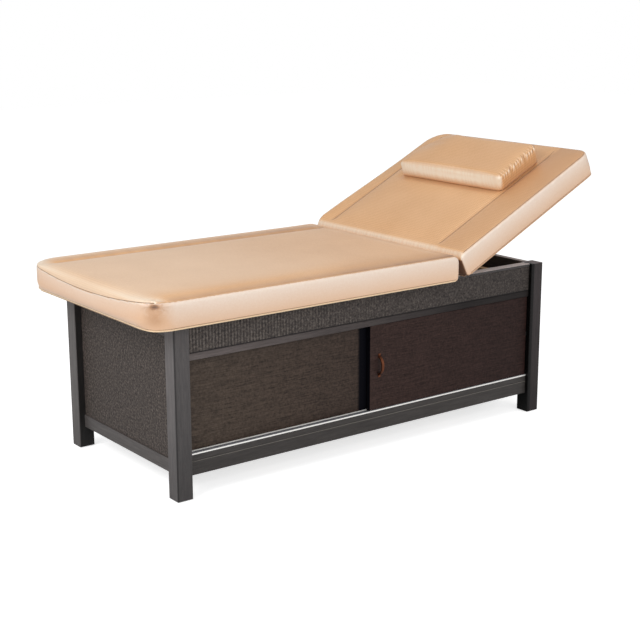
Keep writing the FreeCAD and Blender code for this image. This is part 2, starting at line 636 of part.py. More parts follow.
def stay_knob():
    """The star knob on the front bolt, beside the quadrant and free to turn on the bolt."""
    start = -BOLT_INNER_Y
    body = drum(2 * KNOB_RADIUS, KNOB_HEIGHT, STAY_BOLT_X, start, STAY_BOLT_Z)
    scallop_reach = KNOB_RADIUS + KNOB_SCALLOP_RADIUS - KNOB_SCALLOP_DEPTH
    for i in range(KNOB_LOBES):
        turn = 2 * math.pi * i / KNOB_LOBES
        body = body.cut(drum(2 * KNOB_SCALLOP_RADIUS, KNOB_HEIGHT,
                             STAY_BOLT_X + scallop_reach * math.cos(turn), start,
                             STAY_BOLT_Z + scallop_reach * math.sin(turn)))
    bore = STAY_BOLT_DIAMETER + 2 * RUNNING_CLEARANCE
    return body.cut(drum(bore, KNOB_HEIGHT, STAY_BOLT_X, start, STAY_BOLT_Z))


# ---- loose pillow ----
def pillow():
    """A wedge, low towards the hinge, with rounded upper edges and rounded corners."""
    x0 = BACKREST_X + PILLOW_START
    x1 = x0 + PILLOW_DEPTH
    z0 = MATTRESS_TOP + PILLOW_CLEARANCE
    half = PILLOW_WIDTH / 2
    side = polygon_face([Vector(x0, -half, z0), Vector(x1, -half, z0),
                         Vector(x1, -half, z0 + PILLOW_HEIGHT), Vector(x0, -half, z0 + PILLOW_FRONT_HEIGHT)])
    wedge = side.extrude(Vector(0, PILLOW_WIDTH, 0))
    upper = [e for e in wedge.Edges if e.BoundBox.YLength > half and e.BoundBox.ZMin > z0 + 0.01]
    wedge = wedge.makeFillet(PILLOW_EDGE, upper)
    plan = rounded_plan(x0, x1, -half, half, z0, PILLOW_FRONT_CORNER, PILLOW_BACK_CORNER)
    return raised(wedge.common(plan.extrude(Vector(0, 0, PILLOW_HEIGHT))))


def build_nodes():
    batten_inner_y = BATTEN_OUTER_Y - BATTEN_WIDTH
    return {
        "post_foot_front": post(FOOT_X, FRONT_Y),
        "post_foot_back": post(FOOT_X, INNER_BACK_Y),
        "post_head_front": post(INNER_HEAD_X, FRONT_Y),
        "post_head_back": post(INNER_HEAD_X, INNER_BACK_Y),
        "leg_glides": leg_glides(),
        "rail_bottom_front": side_rail(FACE_Y, FLOOR_CLEARANCE, SIDE_RAIL_TOP),
        "rail_bottom_back": side_rail(BACK_RAIL_Y, FLOOR_CLEARANCE, SIDE_RAIL_TOP),
        "rail_bottom_foot": end_rail(FOOT_RAIL_X, FLOOR_CLEARANCE, END_RAIL_TOP),
        "rail_bottom_head": end_rail(HEAD_RAIL_X, FLOOR_CLEARANCE, END_RAIL_TOP),
        "rail_top_front": rail_top_front(),
        "rail_top_back": side_rail(BACK_RAIL_Y, TOP_RAIL_BOTTOM, CABINET_HEIGHT),
        "rail_top_foot": end_rail(FOOT_RAIL_X, TOP_RAIL_BOTTOM, CABINET_HEIGHT),
        "rail_top_head": end_rail(HEAD_RAIL_X, TOP_RAIL_BOTTOM, CABINET_HEIGHT),
        "panel_back": back_panel(),
        "panel_foot": end_panel(FOOT_RAIL_X + PANEL_SETBACK),
        "panel_head": end_panel(HEAD_RAIL_X + RAIL_THICKNESS - PANEL_SETBACK - PANEL_THICKNESS),
        "sill_front": sill_front(),
        "header_front": header_front(),
        "fascia_front": fascia_front(),
        "trim_top_front": trim_top_front(),
        "floor_bearers": floor_bearers(),
        "floor_board": floor_board(),
        "partition": partition(),
        "deck_bearers": deck_bearers(),
        "deck_board": deck_board(),
        "track_bottom": track_bottom(),
        "door_bumpers": door_bumpers(),
        "door_left": door(LEFT_DOOR_X, REAR_GROOVE_Y),
        "door_left_runners": door_runners(LEFT_DOOR_X, REAR_GROOVE_Y),
        "door_left_guides": door_guides(LEFT_DOOR_X, REAR_GROOVE_Y),
        "door_right": door(RIGHT_DOOR_X, FRONT_GROOVE_Y),
        "door_right_runners": door_runners(RIGHT_DOOR_X, FRONT_GROOVE_Y),
        "door_right_guides": door_guides(RIGHT_DOOR_X, FRONT_GROOVE_Y),
        "door_handle": door_handle(),
        "seat_base_board": seat_base_board(),
        "seat_cushion": seat_cushion(),
        "hinge_leaf_seat": hinge_leaf_seat(),
        "hinge_leaf_backrest": hinge_leaf_backrest(),
        "hinge_pin": hinge_pin(),
        "backrest_base_board": backrest_base_board(),
        "backrest_batten_front": batten(BATTEN_START, BATTEN_LENGTH, -BATTEN_OUTER_Y, -batten_inner_y),
        "backrest_batten_back": batten(BATTEN_START, BATTEN_LENGTH, batten_inner_y, BATTEN_OUTER_Y),
        "backrest_crossbar_hinge": cross_batten(BATTEN_START),
        "backrest_crossbar_head": cross_batten(BATTEN_START + BATTEN_LENGTH - BATTEN_WIDTH),
        "backrest_cushion": backrest_cushion(),
        "stay_quadrant_front": mirrored(stay_quadrant()),
        "stay_quadrant_back": stay_quadrant(),
        "stay_rail": stay_rail(),
        "stay_bracket_front": mirrored(stay_bracket()),
        "stay_bracket_back": stay_bracket(),
        "stay_bolt_front": mirrored(stay_bolt(KNOB_HEIGHT)),
        "stay_bolt_back": stay_bolt(NUT_HEIGHT),
        "stay_knob": stay_knob(),
        "stay_nut": stay_nut(),
        "pillow": pillow(),
    }


def main():
    os.makedirs("parts", exist_ok=True)
    nodes = build_nodes()
    for name, shape in nodes.items():
        shape.exportStep("parts/%s.step" % name)
        box = shape.BoundBox
        print("%-22s solids %d valid %s volume %.0f x %.1f..%.1f y %.1f..%.1f z %.1f..%.1f" % (
            name, len(shape.Solids), shape.isValid(), shape.Volume,
            box.XMin, box.XMax, box.YMin, box.YMax, box.ZMin, box.ZMax))
    print("nodes", len(nodes))
    print("hinge axis x %.3f z %.3f" % (AXIS_X, AXIS_Z))
    print("stay bolt x %.3f z %.3f angle %.3f" % (STAY_BOLT_X, STAY_BOLT_Z, STAY_BOLT_ANGLE))
    print("door travel %.3f" % (RIGHT_DOOR_X - LEFT_DOOR_X))


main()
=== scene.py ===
"""Looks of the spa bed with a cabinet base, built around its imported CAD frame. Metres, +Z up."""

import json
import math

import bpy
import numpy as np
from mathutils import Matrix, Vector
from mathutils.bvhtree import BVHTree


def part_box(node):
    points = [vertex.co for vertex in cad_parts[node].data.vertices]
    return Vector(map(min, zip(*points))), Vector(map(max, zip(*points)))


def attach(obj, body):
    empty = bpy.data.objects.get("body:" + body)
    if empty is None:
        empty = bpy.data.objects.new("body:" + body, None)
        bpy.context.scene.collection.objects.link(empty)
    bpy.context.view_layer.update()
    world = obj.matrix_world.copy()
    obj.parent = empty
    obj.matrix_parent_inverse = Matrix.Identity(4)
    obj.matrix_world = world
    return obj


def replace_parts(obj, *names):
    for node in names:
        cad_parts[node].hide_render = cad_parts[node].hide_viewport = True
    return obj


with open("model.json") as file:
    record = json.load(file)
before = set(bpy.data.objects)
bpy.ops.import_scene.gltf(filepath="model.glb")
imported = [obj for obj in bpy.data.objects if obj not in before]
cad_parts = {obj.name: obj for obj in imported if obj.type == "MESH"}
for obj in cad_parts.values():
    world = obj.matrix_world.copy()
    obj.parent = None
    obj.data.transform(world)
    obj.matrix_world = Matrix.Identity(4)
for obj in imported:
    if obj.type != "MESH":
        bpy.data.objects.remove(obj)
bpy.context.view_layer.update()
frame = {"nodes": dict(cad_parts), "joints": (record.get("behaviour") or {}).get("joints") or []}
NODES = frame["nodes"]
HINGE = next(joint for joint in frame["joints"] if joint["name"] == "backrest_hinge")
MM = 0.001
TINY = 1e-9

# ---- camera, as the photograph was taken ----
CAMERA_PLACE = (-2.66418, -3.52747, 1.46225)
CAMERA_AZIMUTH = -36.959
CAMERA_ELEVATION = 13.886
CAMERA_ROLL = -0.125
CAMERA_LENS = 75.92

# ---- light ----
WORLD_LEVEL = 0.50
FLOOR_REACH = 12.0
FLOOR_GLOW = 0.68              # what the floor adds to itself for the camera alone

# ---- upholstery ----
CUSHION_CELL = 10 * MM
PILLOW_CELL = 6 * MM
SWELL_FRAMES = 20
SWELL_CLOTH = dict(quality=4, mass=0.3, use_pressure=True, uniform_pressure_force=4.0,
                   vertex_group_mass="held", tension_stiffness=12, compression_stiffness=12,
                   bending_stiffness=1.5)
SEAT_SWELL = 9 * MM
SIDE_SWELL = 5 * MM
PILLOW_DENT = 1.6 * MM         # what the backrest may swell under the pillow
CUSHION_SINK = 2 * MM          # how much smaller a cushion starts before it swells
MEETING_SINK = 1.2 * MM        # the same at the end that meets the other cushion
BOARD_GAP = 0.6 * MM           # from the lining's underside to the upholstery's
SEAT_FAR_SEAM = 292 * MM
SEAT_NEAR_CREASE = -358 * MM
BACKREST_FAR_SEAM = 326 * MM
BACKREST_NEAR_SEAM = -256 * MM
FOOT_SEAM_DROP = 29 * MM       # from the top edge to the seam, at the middle of the foot face
FOOT_SEAM_RISE = 22 * MM
NEAR_PUCKER = (-859 * MM, -373 * MM, 607 * MM)
FAR_PUCKER = (-862 * MM, 368 * MM, 609 * MM)
PILLOW_FRONT_HEIGHT = 65 * MM
PILLOW_END_LEAN = 18 * MM      # how much nearer the ends' top edge is than their foot
PILLOW_BACK_DROP = 11 * MM     # how much lower the pillow is at its far corner
FOOT_CORNERS = (78 * MM, 112 * MM)
HEAD_CORNERS = (40 * MM, 78 * MM)
MEETING_CORNER = 6 * MM
STIFF_END = (10 * MM, 60 * MM)  # from where, and over what way, the cushions may swell beside the hinge
SEWN_END = (6 * MM, 30 * MM)    # the same for the folds of their edges
LINING_MARGIN = 14 * MM
LINING_JOINT = 0.3 * MM
LINING_THICKNESS = 1.2 * MM
CANE_STRAND = 2.4 * MM
RAY_START = 0.1                # how far outside a piece the rays start that look for its surface


# ---- places ----
def vectors(mesh, key="co"):
    """The places (co) or the directions (normal) of a mesh's vertices, one a row."""
    values = np.zeros(len(mesh.vertices) * 3)
    mesh.vertices.foreach_get(key, values)
    return values.reshape(-1, 3)


def set_vertices(obj, co):
    obj.data.vertices.foreach_set("co", np.asarray(co, np.float32).ravel())
    obj.data.update()


AXIS = Vector(HINGE["pos_m"])
REST = -math.radians(HINGE["range_deg"][0])
# a point of the raised backrest = RAISED @ (distance from the hinge, y, height over the hinge)
RAISED = Matrix.Translation(AXIS) @ Matrix.Rotation(-REST, 4, "Y")
UPRIGHT = Matrix.Identity(4)
ON_CABINET = (UPRIGHT, "cabinet")
ON_BACKREST = (RAISED, "backrest")


def moved(co, place):
    m = np.array(place)
    return co @ m[:3, :3].T + m[:3, 3]


def local_box(node, place):
    """Lowest and highest corner of a CAD node in the frame that place puts into the part."""
    co = moved(vectors(NODES[node].data), place.inverted())
    return co.min(0), co.max(0)


def rise(value, start, width):
    """0 up to the start, from there softly up to 1 over the width."""
    t = np.clip((value - start) / width, 0.0, 1.0)
    return t * t * (3 - 2 * t)


def ridge(distance, width):
    """1 on a line, falling softly to 0 at a few widths from it."""
    return np.exp(-(distance / width) ** 2)


def reach(rows):
    return np.linalg.norm(rows, axis=1)


def unit(rows):
    return rows / np.maximum(reach(rows), TINY)[:, None]


# ---- shaders ----
class Value:
    """A node's output. Sums, differences and products of it are Math nodes."""

    def __init__(self, nodes, socket):
        self.nodes, self.socket = nodes, socket

    def __add__(self, other):
        return self.nodes.maths("ADD", self, other)

    def __sub__(self, other):
        return self.nodes.maths("SUBTRACT", self, other)

    def __rsub__(self, other):
        return self.nodes.maths("SUBTRACT", other, self)

    def __mul__(self, other):
        return self.nodes.maths("MULTIPLY", self, other)

    def __abs__(self):
        return self.nodes.maths("ABSOLUTE", self)

    __radd__, __rmul__ = __add__, __mul__


class Nodes:
    """The nodes of a material or a world."""

    def __init__(self, holder):
        holder.use_nodes = True
        self.tree = holder.node_tree
        self.tree.nodes.clear()

    def give(self, socket, value):
        """Links an output to the socket, or puts a plain value on it."""
        value = value.socket if isinstance(value, Value) else value
        if isinstance(value, bpy.types.NodeSocket):
            self.tree.links.new(value, socket)
        elif socket.type == "RGBA" and len(value) == 3:
            socket.default_value = (*value, 1.0)
        else:
            socket.default_value = value

    def node(self, kind, *inputs, sockets=(), **props):
        made = self.tree.nodes.new("ShaderNode" + kind)
        for key, value in props.items():
            setattr(made, key, value)
        named = [(made.inputs[key], value) for key, value in dict(sockets).items()]
        for socket, value in [*zip(made.inputs, inputs), *named]:
            if value is not None:
                self.give(socket, value)
        return made

    def value(self, output, kind, *inputs, **rest):
        return Value(self, self.node(kind, *inputs, **rest).outputs[output])

    def maths(self, kind, a, b=0.0):
        return self.value(0, "Math", a, b, operation=kind)


class Shader(Nodes):
    """A Principled material. Its uniform values sit on the shader's own sockets."""

    def __init__(self, name, metallic=0.0, **sockets):
        self.material = bpy.data.materials.new(name)
        super().__init__(self.material)
        named = {key.replace("_", " "): value for key, value in sockets.items()}
        self.bsdf = self.node("BsdfPrincipled", sockets={"Metallic": metallic, **named})
        self.node("OutputMaterial", self.bsdf.outputs[0])

    def place(self, scale=None, turn=(0, 0, 0), attribute=None):
        """Coordinates that go with the piece, turned and stretched by scale."""
        if attribute:
            source = self.value("Vector", "Attribute", attribute_name=attribute)
        else:
            source = self.value("Object", "TexCoord")
        return self.value(0, "Mapping", source, None, turn, scale) if scale else source

    def number(self, attribute):
        return self.value("Fac", "Attribute", attribute_name=attribute)

    def xyz(self, vector):
        return [Value(self, part) for part in self.node("SeparateXYZ", vector).outputs]

    def turned(self):
        """The parts of the surface's direction."""
        return self.xyz(self.value("Normal", "NewGeometry"))

    def noise(self, where, scale, detail=3.0, rough=0.55):
        return self.value("Fac", "TexNoise", sockets={"Vector": where, "Scale": scale, "Detail": detail,
                                                      "Roughness": rough})

    def sine(self, value, pitch):
        return self.maths("SINE", value * (math.tau / pitch))

    def span(self, fac, low, high, out_low, out_high):
        return self.value(0, "MapRange", fac, low, high, out_low, out_high)

    def ramp(self, fac, *stops):
        made = self.node("ValToRGB", fac)
        line = made.color_ramp
        while len(line.elements) < len(stops):
            line.elements.new(0.5)
        for element, (at, colour) in zip(line.elements, stops):
            element.position = at
            element.color = (*colour, 1.0)
        return Value(self, made.outputs[0])

    def mix(self, fac, a, b, kind="MIX"):
        made = self.node("Mix", data_type="RGBA", blend_type=kind)
        for index, value in ((0, fac), (6, a), (7, b)):
            self.give(made.inputs[index], value)
        return Value(self, made.outputs[2])

    def scaled(self, colour, by):
        return self.value(0, "VectorMath", colour, operation="SCALE", sockets={"Scale": by})

    def bump(self, height, strength, distance):
        return self.value(0, "Bump", sockets={"Strength": strength, "Distance": distance, "Height": height})

    def finish(self, colour, rough, normal):
        for name, value in (("Base Color", colour), ("Roughness", rough), ("Normal", normal)):
            self.give(self.bsdf.inputs[name], value)
        return self.material


def grain_scale(axis, along=1.6, across=26.0):
    return tuple(along if i == axis else across for i in range(3))


def stained_wood(name, axis, dark, light, faces=None, head_end_shade=1.0, foot=1.0, bead=None, joint=None,
                 shadow_edge=None, shine=0.35):
    """Wenge-stained wood with pores and fine streaks along one axis, under a thin satin lacquer.

    faces gives painted light and shade by the way a face is turned, and on faces turned up painted sheen
    together with dust. head_end_shade is the tone painted at the head end and foot the one painted at the
    floor, both as shade.
    bead is the height of a pale line between two boards, joint the (x, y) of a dark hairline painted along the
    post's corner edge as shade, and shadow_edge the x up to which a front face is painted shadow-dark.
    """
    s = Shader(name, Specular_IOR_Level=shine, Coat_Weight=shine * 0.17, Coat_Roughness=0.32)
    streaks = s.noise(s.place(grain_scale(axis)), 6.0, 6.0, 0.62)
    pores = s.noise(s.place(grain_scale(axis, 9.0, 240.0)), 4.0, 2.0, 0.5)
    mixed = streaks * 0.75 + s.noise(s.place((3, 3, 3)), 1.3, 2.0) * 0.25
    x, y, z = s.xyz(s.place())
    # painted shade towards the head end and towards the floor
    tone = s.span(pores, 0.30, 0.46, 0.62, 1.0) * s.span(x, -0.62, 0.35, 1.0, head_end_shade)
    tone *= s.span(z, 0.05, 0.42, foot, 1.0)
    # painted light and shade by the way a face is turned, with sheen together with dust on faces turned up
    if faces:
        sides = [(part * sign, mark + letter) for part, letter in zip(s.turned(), "xyz")
                 for sign, mark in ((-1.0, "-"), (1.0, "+"))]
        tone *= sum(s.maths("MAXIMUM", share, 0.0) * faces.get(side, 1.0) for share, side in sides)
    # painted shade: a dark hairline along the corner edge
    if joint:
        tone *= s.span(abs(x - joint[0]) + abs(y - joint[1]), 3.0 * MM, 4.4 * MM, 0.22, 1.0)
    # painted shadow on a front face up to an x
    if shadow_edge:
        tone *= s.span(x, shadow_edge, shadow_edge + 2 * MM, 0.12, 1.0)
    colour = s.scaled(s.ramp(mixed, (0.30, dark), (0.70, light)), tone)
    if bead:
        colour = s.mix(s.span(abs(z - bead), 0.6 * MM, 1.2 * MM, 0.50, 0.0), colour, (0.24, 0.22, 0.19))
    rough = s.span(mixed, 0.3, 0.7, 0.50, 0.40)
    return s.finish(colour, rough, s.bump(pores * 0.6 + streaks * 0.4, 0.35, 0.0006))


def woven(name, across, low, high, pitch, lines, shadow_edge=0.0):
    """Dark woven cane: strands crossing over and under, with a heavier line every few strands.

    The lines fade towards the head end, where the tone is also painted darker as shade. Below the height of
    shadow_edge it is painted as dark as a shadow.
    """
    s = Shader(name, Specular_IOR_Level=0.3)
    where = s.place()
    parts = s.xyz(where)
    x, z = parts[0], parts[2]
    cell = s.sine(parts[across], 2 * CANE_STRAND) * s.sine(z, 2 * CANE_STRAND)
    rib = s.sine(parts[across], pitch) * s.span(x, -0.60, 0.05, 1.0, 0.12)
    tone = cell * 0.12 + rib * lines + s.noise(where, 150.0, 3.0, 0.65)
    # painted shade: darker towards the head end, and shadow-dark along the bottom edge
    tone *= s.span(x, -0.5, 0.85, 1.0, 0.84) * s.span(z, shadow_edge, shadow_edge + 0.6 * MM, 0.2, 1.0)
    colour = s.ramp(tone, (0.24, (0.008, 0.006, 0.006)), (0.50, low), (0.76, high))
    rough = s.span(tone, 0.2, 0.9, 0.66, 0.48)
    return s.finish(colour, rough, s.bump(cell * 0.5 + rib * (lines * 2.0), 0.7, 0.0009))


def door_board(name, dark, light, fade, shadow_start=None):
    """Dark laminate of the doors: fine lengthwise grain with flecks in it, warmer towards the head end.

    fade gives two places along the door and the tones there, painted light that falls off towards the head end.
    From the place shadow_start on, the door is painted black as the shadow that the other door casts; without
    one, the end face turned to the foot end is painted black as shade.
    """
    s = Shader(name, Coat_Roughness=0.38)
    streaks = s.noise(s.place(grain_scale(0, 3.0, 60.0)), 5.0, 5.0, 0.6)
    mixed = streaks * 0.55 + s.noise(s.place(), 150.0, 3.0, 0.6) * 0.45
    along = s.xyz(s.place())[0]
    # painted light that falls off towards the head end
    colour = s.scaled(s.ramp(mixed, (0.36, dark), (0.64, light)), s.span(along, *fade))
    colour = s.mix(s.span(along, -0.62, 0.62, 0.0, 1.0), colour, (1.0, 0.80, 0.84), "MULTIPLY")
    # painted black shadow: where the other door's shadow falls, or on the end face turned to the foot end
    if shadow_start is None:
        painted_shadow = s.span(s.turned()[0], -0.9, -0.6, 1.0, 0.0)
    else:
        painted_shadow = s.span(along, shadow_start - 7 * MM, shadow_start + 3 * MM, 0.0, 1.0)
    colour = s.mix(painted_shadow, colour, (0.004, 0.004, 0.006))
    s.give(s.bsdf.inputs["Specular IOR Level"], s.span(painted_shadow, 0.0, 1.0, 0.14, 0.02))
    s.give(s.bsdf.inputs["Coat Weight"], s.span(painted_shadow, 0.0, 1.0, 0.02, 0.0))
    return s.finish(colour, s.span(mixed, 0.3, 0.7, 0.54, 0.42), s.bump(mixed, 0.3, 0.0005))


def dark_board(name):
    s = Shader(name)
    streaks = s.noise(s.place(grain_scale(0, 2.0, 40.0)), 6.0, 4.0)
    colour = s.ramp(streaks, (0.35, (0.024, 0.019, 0.017)), (0.65, (0.052, 0.043, 0.037)))
    return s.finish(colour, s.span(streaks, 0.3, 0.7, 0.62, 0.5), s.bump(streaks, 0.25, 0.0005))


def pale_wood(name, axis, turn=(0, 0, 0)):
    """Planed softwood of the hidden bearers and battens."""
    s = Shader(name)
    rings = s.noise(s.place(grain_scale(axis, 1.2, 14.0), turn), 5.0, 5.0, 0.6)
    fine = s.noise(s.place(grain_scale(axis, 6.0, 160.0), turn), 4.0, 2.0)
    mixed = rings * 0.8 + fine * 0.2
    colour = s.ramp(mixed, (0.36, (0.42, 0.25, 0.12)), (0.52, (0.60, 0.41, 0.22)), (0.68, (0.70, 0.52, 0.31)))
    return s.finish(colour, s.span(mixed, 0.3, 0.7, 0.62, 0.52), s.bump(mixed, 0.3, 0.0006))


def plywood(name):
    """Birch plywood: pale flecked faces, and thin dark glue lines where its edge shows."""
    s = Shader(name)
    figure = s.noise(s.place(grain_scale(0, 1.4, 11.0)), 4.0, 5.0, 0.6)
    colour = s.ramp(figure, (0.36, (0.50, 0.33, 0.18)), (0.66, (0.72, 0.55, 0.36)))
    plies = s.sine(s.xyz(s.place())[2], 2.7 * MM)
    edge = s.span(abs(s.turned()[2]), 0.5, 0.7, 1.0, 0.0)
    colour = s.mix(edge * s.span(plies, 0.4, 0.8, 0.0, 0.75), colour, (0.13, 0.07, 0.035))
    return s.finish(colour, s.span(figure, 0.3, 0.7, 0.58, 0.5), s.bump(figure, 0.2, 0.0004))


def drawn_lines(s, axis):
    """Faint lines that drawing or brushing leaves along the axis."""
    return s.noise(s.place(grain_scale(axis, 4.0, 700.0)), 3.0, 3.0)


def metal(name, colour, wear, rough, axis, brush):
    """Drawn or brushed metal with faint lines along one axis and a little tarnish."""
    s = Shader(name, metallic=1.0)
    lines = drawn_lines(s, axis)
    tint = s.mix(s.span(s.noise(s.place(), 30.0), 0.35, 0.7, 0.0, 0.35), colour, wear)
    return s.finish(tint, s.span(lines, 0.3, 0.7, rough - brush, rough + brush), s.bump(lines, 0.12, 0.0002))


def track_metal(name):
    """Drawn aluminium of the track: bright ribs; the grooves and lower faces are dark, partly as dirt and
    partly as painted shade.
    """
    s = Shader(name, metallic=0.3)
    low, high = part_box("track_bottom")
    _, y, z = s.xyz(s.place())
    lines = drawn_lines(s, 0)
    front = s.span(y, low[1] + 1.2 * MM, low[1] + 1.3 * MM, 1.0, 0.0)
    lip = s.span(z, high[2] - 2.2 * MM, high[2] - 2.0 * MM, 1.0, 0.0)
    crest = s.span(z, high[2] - 3.4 * MM, high[2] - 3.2 * MM, 0.0, 1.0)
    # dark grooves and lower faces: partly dirt, partly painted shade
    colour = s.mix(front * lip + (1.0 - front) * crest, (0.10, 0.10, 0.11), (0.93, 0.91, 0.88))
    return s.finish(colour, s.span(lines, 0.3, 0.7, 0.26, 0.42), s.bump(lines, 0.12, 0.0002))


def flecked(name, low, high, rough, spread=0.08, size=300.0, detail=3.0, relief=0.3, metallic=0.0):
    """Moulded plastic, rubber or powder coat with a fine matt texture."""
    s = Shader(name, metallic)
    fleck = s.noise(s.place(), size, detail)
    colour = s.ramp(fleck, (0.3, low), (0.7, high))
    rough = s.span(fleck, 0.3, 0.7, rough - spread, rough + spread)
    return s.finish(colour, rough, s.bump(fleck, relief, 0.0003))


CLOTH_TAN = (0.800, 0.475, 0.240)
CLOTH_LOW = (0.590, 0.310, 0.130)
# the next three colours are painted deep shade, painted highlight and painted shade on the cloth
CLOTH_DEEP_SHADE = (0.125, 0.058, 0.032)
CLOTH_HIGHLIGHT = (0.900, 0.815, 0.680)
CLOTH_SHADE = (0.420, 0.205, 0.090)
BAND_HIGH = (0.790, 0.662, 0.562)
BAND_LOW = (0.732, 0.468, 0.298)


def upholstery(name):
    """Coated upholstery in golden tan, ribbed along the bed, with a smoother cream band below the sewn edge.

    The attribute below says how far a point lies under that seam. crease paints shade on the cloth above 0
    and highlights below 0. gather is the place round a gathered corner and, third, how strongly the painted
    light and shade of its folds run out of it.
    """
    s = Shader(name, Specular_IOR_Level=0.62, Sheen_Weight=0.25, Sheen_Roughness=0.35,
               Sheen_Tint=(1.0, 0.96, 0.92, 1.0), Coat_Weight=0.22, Coat_Roughness=0.36, IOR=1.5)
    where = s.place(attribute="cloth")
    u, v, _ = s.xyz(where)
    below, crease = s.number("below"), s.number("crease")
    band = s.span(below, -0.6 * MM, 0.6 * MM, 0.0, 1.0)
    weave = s.sine(v, 7.0 * MM) * 0.60 + s.sine(u, 8.0 * MM) * 0.40
    leather = s.noise(where, 170.0, 4.0, 0.65)
    cloud = s.noise(where, 5.0, 3.0, 0.5)
    tone = weave * 0.26 + leather * 0.45 + cloud * 0.45
    top_colour = s.mix(s.span(tone, 0.15, 0.72, 0.0, 1.0), CLOTH_LOW, CLOTH_TAN)
    # the band is painted darker further below the seam, as shade
    band_colour = s.mix(cloud * 0.25 + s.span(below, 10 * MM, 85 * MM, -0.1, 0.9), BAND_HIGH, BAND_LOW)
    band_colour = s.mix(s.span(leather, 0.3, 0.7, 0.16, 0.0), band_colour, CLOTH_LOW)
    colour = s.mix(band, top_colour, band_colour)
    # beside a seam, small pale and dark specks are painted highlights and shade on the cloth that the stitches
    # pull
    close = s.span(abs(below), 0.0, 8 * MM, 0.55, 0.0)
    speck = s.noise(where, 330.0, 2.0, 0.5)
    colour = s.mix(close * s.span(speck, 0.52, 0.62, 0.0, 1.0), colour, CLOTH_HIGHLIGHT)
    colour = s.mix(close * s.span(speck, 0.38, 0.48, 1.0, 0.0), colour, CLOTH_LOW)
    # painted highlights and shade: on the folds that run out of a gathered corner, and where crease gives them
    across, up, strength = s.xyz(s.place(attribute="gather"))
    turn = s.maths("ARCTAN2", up, across)
    fold = s.maths("SINE", turn * 7.0 + s.noise(where, 60.0) * 14.0) * strength
    for value, start, end, out_start, out_end, tint in (
            (fold, 0.0, 1.0, 0.0, 0.55, CLOTH_SHADE), (fold, -1.0, 0.0, 0.50, 0.0, CLOTH_HIGHLIGHT),
            (crease, -1.0, 0.0, 0.95, 0.0, CLOTH_HIGHLIGHT), (crease, 0.0, 0.55, 0.0, 0.90, CLOTH_SHADE),
            (crease, 0.45, 1.0, 0.0, 0.90, CLOTH_DEEP_SHADE)):
        colour = s.mix(s.span(value, start, end, out_start, out_end), colour, tint)
    height = weave * s.span(band, 0.0, 1.0, 0.35, 0.06) + leather * 0.5 + fold * -2.0
    return s.finish(colour, s.span(tone, 0.2, 0.7, 0.52, 0.38), s.bump(height, 0.6, 0.0006))


def wrapped(name):
    """Lining cloth under the cushions, stapled tight."""
    s = Shader(name, Sheen_Weight=0.15, Sheen_Roughness=0.5)
    where = s.place()
    x, y, _ = s.xyz(where)
    tone = s.sine(x, 2 * MM) * s.sine(y, 2 * MM) * 0.15 + s.noise(where, 260.0)
    colour = s.ramp(tone, (0.3, (0.30, 0.185, 0.115)), (0.7, (0.52, 0.35, 0.23)))
    return s.finish(colour, s.span(tone, 0.3, 0.7, 0.75, 0.6), s.bump(tone, 0.4, 0.0004))


def plain_thread(name, low, high, rough=0.55):
    """Twisted thread or thin piping: slanting twist with a soft colour change."""
    s = Shader(name, Sheen_Weight=0.2)
    twist = s.value("Fac", "TexWave", bands_direction="DIAGONAL",
                    sockets={"Vector": s.place(), "Scale": 160.0, "Distortion": 1.0, "Detail": 1.0})
    return s.finish(s.mix(twist, low, high), s.span(twist, 0.0, 1.0, rough - 0.08, rough + 0.08),
                    s.bump(twist, 0.4, 0.0003))


def dress(material, *nodes):
    for node in nodes:
        NODES[node].data.materials.clear()
        NODES[node].data.materials.append(material)
    return material


# ---- wood ----
dress(stained_wood("wenge_along_x", 0, (0.026, 0.022, 0.020), (0.054, 0.047, 0.044)),
      "rail_bottom_back", "rail_top_front", "rail_top_back", "sill_front")
dress(stained_wood("wenge_rail", 0, (0.024, 0.020, 0.018), (0.052, 0.045, 0.042),
                   bead=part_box("rail_bottom_front")[1][2] - 1.5 * MM), "rail_bottom_front")
# painted light on faces turned to the foot end, and on the top rails' tops painted sheen together with dust
for name, tones, nodes in (("wenge_along_y", {"-x": 1.45}, ("rail_bottom_foot", "rail_bottom_head")),
                           ("wenge_top_rail", {"-x": 1.2, "+z": 9.0}, ("rail_top_foot", "rail_top_head"))):
    dress(stained_wood(name, 1, (0.034, 0.030, 0.029), (0.070, 0.062, 0.059), tones), *nodes)
# painted light on faces turned to the foot end, painted shade towards the floor and as a dark hairline at the
# corner
dress(stained_wood("wenge_upright", 2, (0.052, 0.047, 0.047), (0.086, 0.077, 0.076),
                   {"-x": 1.75, "-y": 1.04, "+z": 1.5}, foot=0.66, joint=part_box("post_foot_front")[0][:2]),
      "post_foot_front")
# painted light on the face turned to the foot end, painted shade on the front face and towards the floor
dress(stained_wood("wenge_upright_back", 2, (0.052, 0.047, 0.045), (0.086, 0.077, 0.074),
                   {"-x": 1.45, "-y": 0.28}, foot=0.80), "post_foot_back")
# a shaded copy of the upright wood for the head-end posts: painted shade all over, deeper on faces turned to
# the foot end, towards the floor and in a band at the foot-end side, with painted sheen together with dust on
# top
dress(stained_wood("wenge_upright_dark", 2, (0.028, 0.022, 0.023), (0.052, 0.042, 0.042),
                   {"-x": 0.12, "+z": 5.0}, foot=0.62, shine=0.22,
                   shadow_edge=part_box("post_head_front")[0][0] + 11 * MM), "post_head_front", "post_head_back")
# the header is painted darker towards the head end, as shade
dress(stained_wood("wenge_header", 0, (0.088, 0.073, 0.071), (0.150, 0.127, 0.122), head_end_shade=0.17,
                   shine=0.12), "header_front")
# the trim's top is painted lighter as sheen together with dust
dress(stained_wood("wenge_trim", 0, (0.040, 0.035, 0.034), (0.070, 0.062, 0.060), {"+z": 12.0}),
      "trim_top_front")
